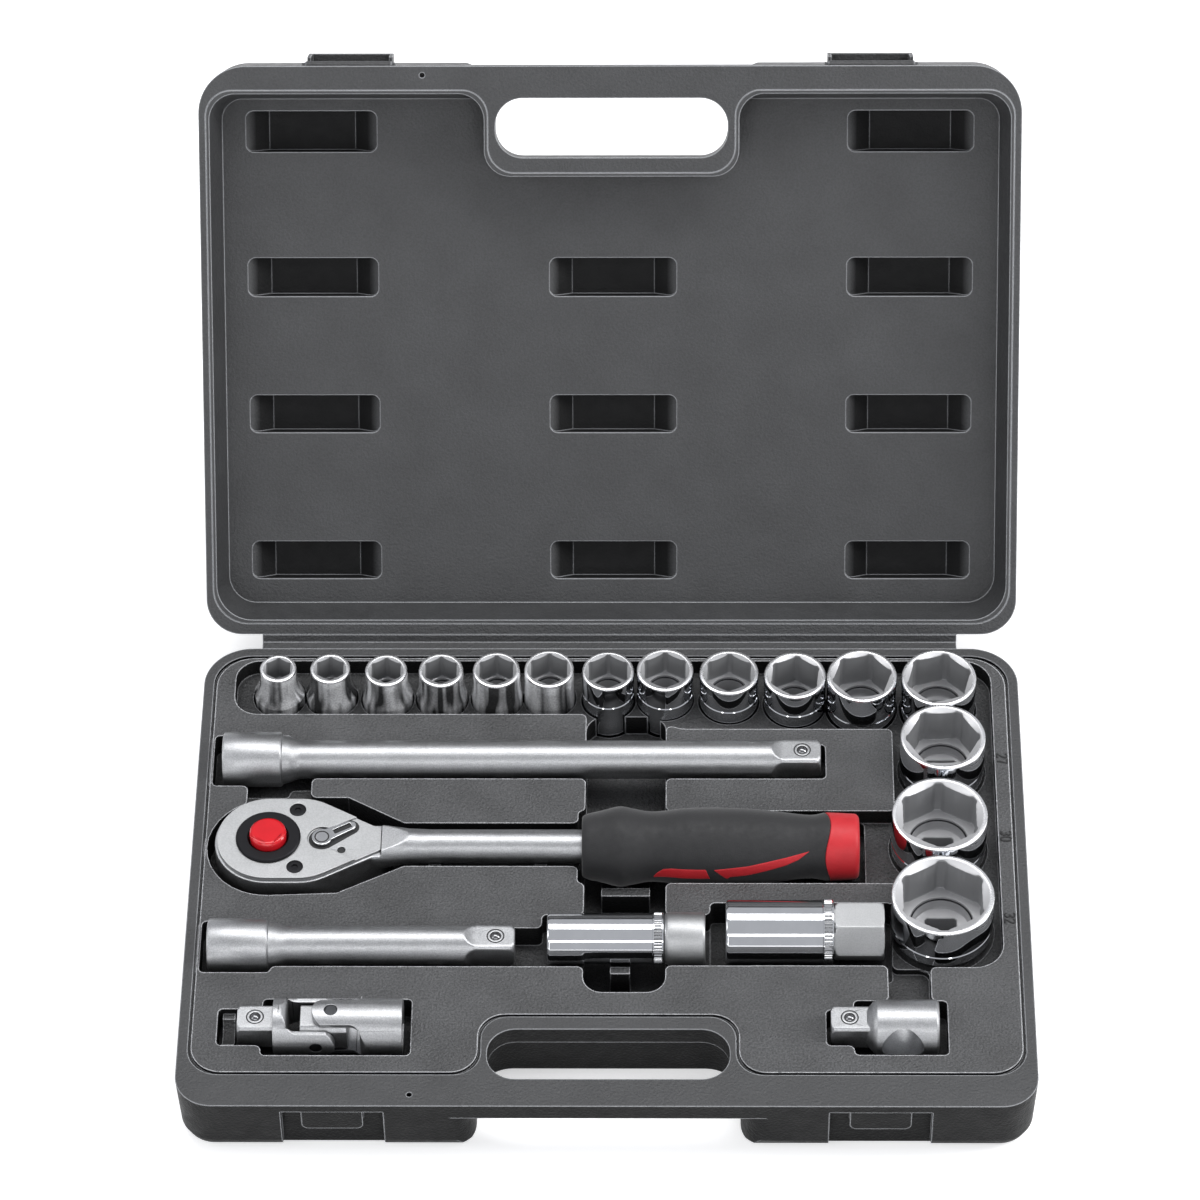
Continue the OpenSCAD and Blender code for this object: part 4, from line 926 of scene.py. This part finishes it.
def make_grip():
    """Black grip and its red cap. A station gives the radius and the place along the grip for an angle."""
    stations = [lambda a: (7.1 * MM, 0.0), lambda a: (11.6 * MM, 0.0), lambda a: (12.3 * MM, 0.15 * MM),
                lambda a: (12.9 * MM, 0.7 * MM)]
    steps = 90
    for i in range(1, steps):
        at = GRIP_FRONT + (GRIP_END - GRIP_FRONT) * i / steps
        stations.append(lambda a, z=at: (grip_radius(z), z))
    stations.append(lambda a: (grip_radius(cap_edge(a)) - 0.02 * MM, cap_edge(a) - 0.5 * MM))
    stations.append(lambda a: (grip_radius(cap_edge(a)) - 0.4 * MM, cap_edge(a) - 0.1 * MM))
    stations.append(lambda a: (12.4 * MM, 103.5 * MM))
    verts, faces = loft(grip_rings(stations))
    grip = new_object("ratchet_grip_piece", verts, [f[::-1] for f in faces], BLACK_RUBBER, "ratchet",
                      math.radians(50))
    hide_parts("ratchet_grip")

    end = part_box("grip_cap")[1][0] - GRIP_X
    cap = [lambda a: (12.2 * MM, cap_edge(a) + 0.4 * MM),
           lambda a: (grip_radius(cap_edge(a)) - 0.35 * MM, cap_edge(a)),
           lambda a: (grip_radius(cap_edge(a)) + 0.05 * MM, cap_edge(a) + 0.3 * MM)]
    wide, narrow = CAP_WALL
    for t in (0.25, 0.5, 0.75, 1.0):
        cap.append(lambda a, t=t: (wide - (wide - narrow) * t,
                                   cap_edge(a) + 0.3 * MM + (end - 2.6 * MM - cap_edge(a)) * t))
    for k in range(1, 7):
        b = k * math.pi / 12
        cap.append(lambda a, b=b: (narrow - 2.4 * MM * (1 - math.cos(b)),
                                   end - 2.4 * MM + 2.1 * MM * math.sin(b)))
    cap.append(lambda a: (6 * MM, end - 0.05 * MM))
    verts, faces = loft(grip_rings(cap))
    obj = new_object("grip_cap_piece", verts, [f[::-1] for f in faces], RED_RUBBER, "ratchet",
                     math.radians(40))
    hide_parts("grip_cap")


# Strokes on the grip's front: (millimetres from its left end, upper edge, lower edge), both edges in degrees
# round the grip, counted from straight back over the top
SHORT_STROKE = [(29.6, 186, 189), (31, 177, 189), (33.5, 168.5, 187.5), (37, 166, 186), (44, 166, 185.5),
                (51, 166, 185), (52.7, 184, 184.6)]
LONG_STROKE = [(54.5, 166.5, 167), (57, 165.4, 176), (60, 164.2, 187), (60.7, 163.8, 181.5), (68, 161, 178.5),
               (76, 155, 171.5), (84, 148.5, 163), (89, 143.5, 154), (93.5, 138, 138.8)]


def make_stroke(name, points):
    """Thin strip moulded flush into the grip."""
    along, across = 60, 12
    start, end = points[0][0], points[-1][0]
    skins = []
    for lift in (0.16 * MM, -0.5 * MM):
        for i in range(along + 1):
            at = start + (end - start) * i / along
            upper = linear([(p[0], p[1]) for p in points], at)
            lower = linear([(p[0], p[2]) for p in points], at)
            for k in range(across + 1):
                a = math.radians(upper + (lower - upper) * k / across)
                edge = 0.14 * MM if k in (0, across) and lift > 0 else 0.0
                skins.append(round_grip(a, grip_radius(at * MM) + lift - edge, at * MM))
    row = across + 1
    sheet = (along + 1) * row
    faces = []
    for i in range(along):
        for k in range(across):
            q = (i * row + k, i * row + k + 1, (i + 1) * row + k + 1, (i + 1) * row + k)
            faces += [q, tuple(sheet + v for v in q[::-1])]
        for k in (0, across):
            a, b = i * row + k, (i + 1) * row + k
            side = (a, b, sheet + b, sheet + a)
            faces.append(side if k == 0 else side[::-1])
    for i in (0, along):
        for k in range(across):
            a, b = i * row + k, i * row + k + 1
            side = (a, sheet + a, sheet + b, b)
            faces.append(side if i == 0 else side[::-1])
    return new_object(name, skins, faces, RED_RUBBER, "ratchet", math.radians(60))


def linear(points, at):
    """Value at a place on straight lines through points of (place, value)."""
    for (x0, y0), (x1, y1) in zip(points, points[1:]):
        if at <= x1:
            return y0 + (y1 - y0) * (at - x0) / (x1 - x0)
    return points[-1][1]


make_grip()
short_stroke = make_stroke("grip_stroke_short", SHORT_STROKE)
make_stroke("grip_stroke_long", LONG_STROKE)
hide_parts("grip_inlay")


# ---------- Camera, floor and light ----------

# Fitted to the case's corners, the bars and the sockets' rims in the photo
LENS = 169.57
EYE = (0.02965, -1.4756, 1.8342)
YAW, PITCH, ROLL = math.radians(1.2205), math.radians(47.9845), math.radians(-0.9019)


def add_camera():
    turn = Matrix.Rotation(YAW, 3, "Z")
    right = turn @ Vector((1, 0, 0))
    forward = turn @ Vector((0, math.cos(PITCH), -math.sin(PITCH)))
    up = turn @ Vector((0, math.sin(PITCH), math.cos(PITCH)))
    r = right * math.cos(ROLL) + up * math.sin(ROLL)
    u = up * math.cos(ROLL) - right * math.sin(ROLL)
    data = bpy.data.cameras.new("camera")
    data.lens, data.sensor_width, data.sensor_height = LENS, 36, 36
    data.clip_end = 20
    camera = bpy.data.objects.new("camera", data)
    camera.matrix_world = Matrix((
        (r.x, u.x, -forward.x, EYE[0]), (r.y, u.y, -forward.y, EYE[1]), (r.z, u.z, -forward.z, EYE[2]),
        (0, 0, 0, 1)))
    bpy.context.scene.collection.objects.link(camera)
    bpy.context.scene.camera = camera


def add_floor():
    mat, tree, bsdf = shader("pale_floor", Roughness=0.9, Specular_IOR_Level=0.1, Emission_Strength=0.5)
    pale = ramp(tree, noise(tree, 3, 2), [(0.3, 0.90), (0.7, 0.92)])
    tree.links.new(pale, bsdf.inputs["Base Color"])
    tree.links.new(pale, bsdf.inputs["Emission Color"])
    size = 4.0
    corners = [(-size, -size, 0), (size, -size, 0), (size, size, 0), (-size, size, 0)]
    floor = new_object("floor", corners, [(0, 1, 2, 3)], mat)


def area_light(name, place, target, size, power):
    data = bpy.data.lights.new(name, "AREA")
    data.shape = "RECTANGLE"
    data.size, data.size_y = size
    data.energy = power
    light = bpy.data.objects.new(name, data)
    light.location = place
    light.rotation_euler = (Vector(target) - Vector(place)).to_track_quat("-Z", "Y").to_euler()
    bpy.context.scene.collection.objects.link(light)


def add_light():
    world = bpy.data.worlds.new("studio")
    world.use_nodes = True
    background = world.node_tree.nodes["Background"]
    background.inputs["Color"].default_value = (0.93, 0.95, 1.0, 1)
    background.inputs["Strength"].default_value = 0.55
    bpy.context.scene.world = world
    middle = (0, 0.05, 0.05)
    area_light("top_softbox", (0.1, 0.5, 1.9), middle, (2.4, 0.8), 28)
    area_light("front_strip", (0.0, -1.9, 1.5), middle, (3.0, 0.35), 11)
    for side in (-1, 1):
        area_light(f"streak_{side}", (0.5 * side, -1.3, 0.4), middle, (0.12, 0.8), 1.2)
    area_light("left_softbox", (-1.6, -0.4, 1.2), middle, (0.9, 1.2), 6)
    area_light("right_softbox", (1.7, 0.1, 1.1), middle, (0.6, 1.2), 22)
    bpy.context.scene.view_settings.view_transform = "Standard"


add_camera()
add_floor()
add_light()
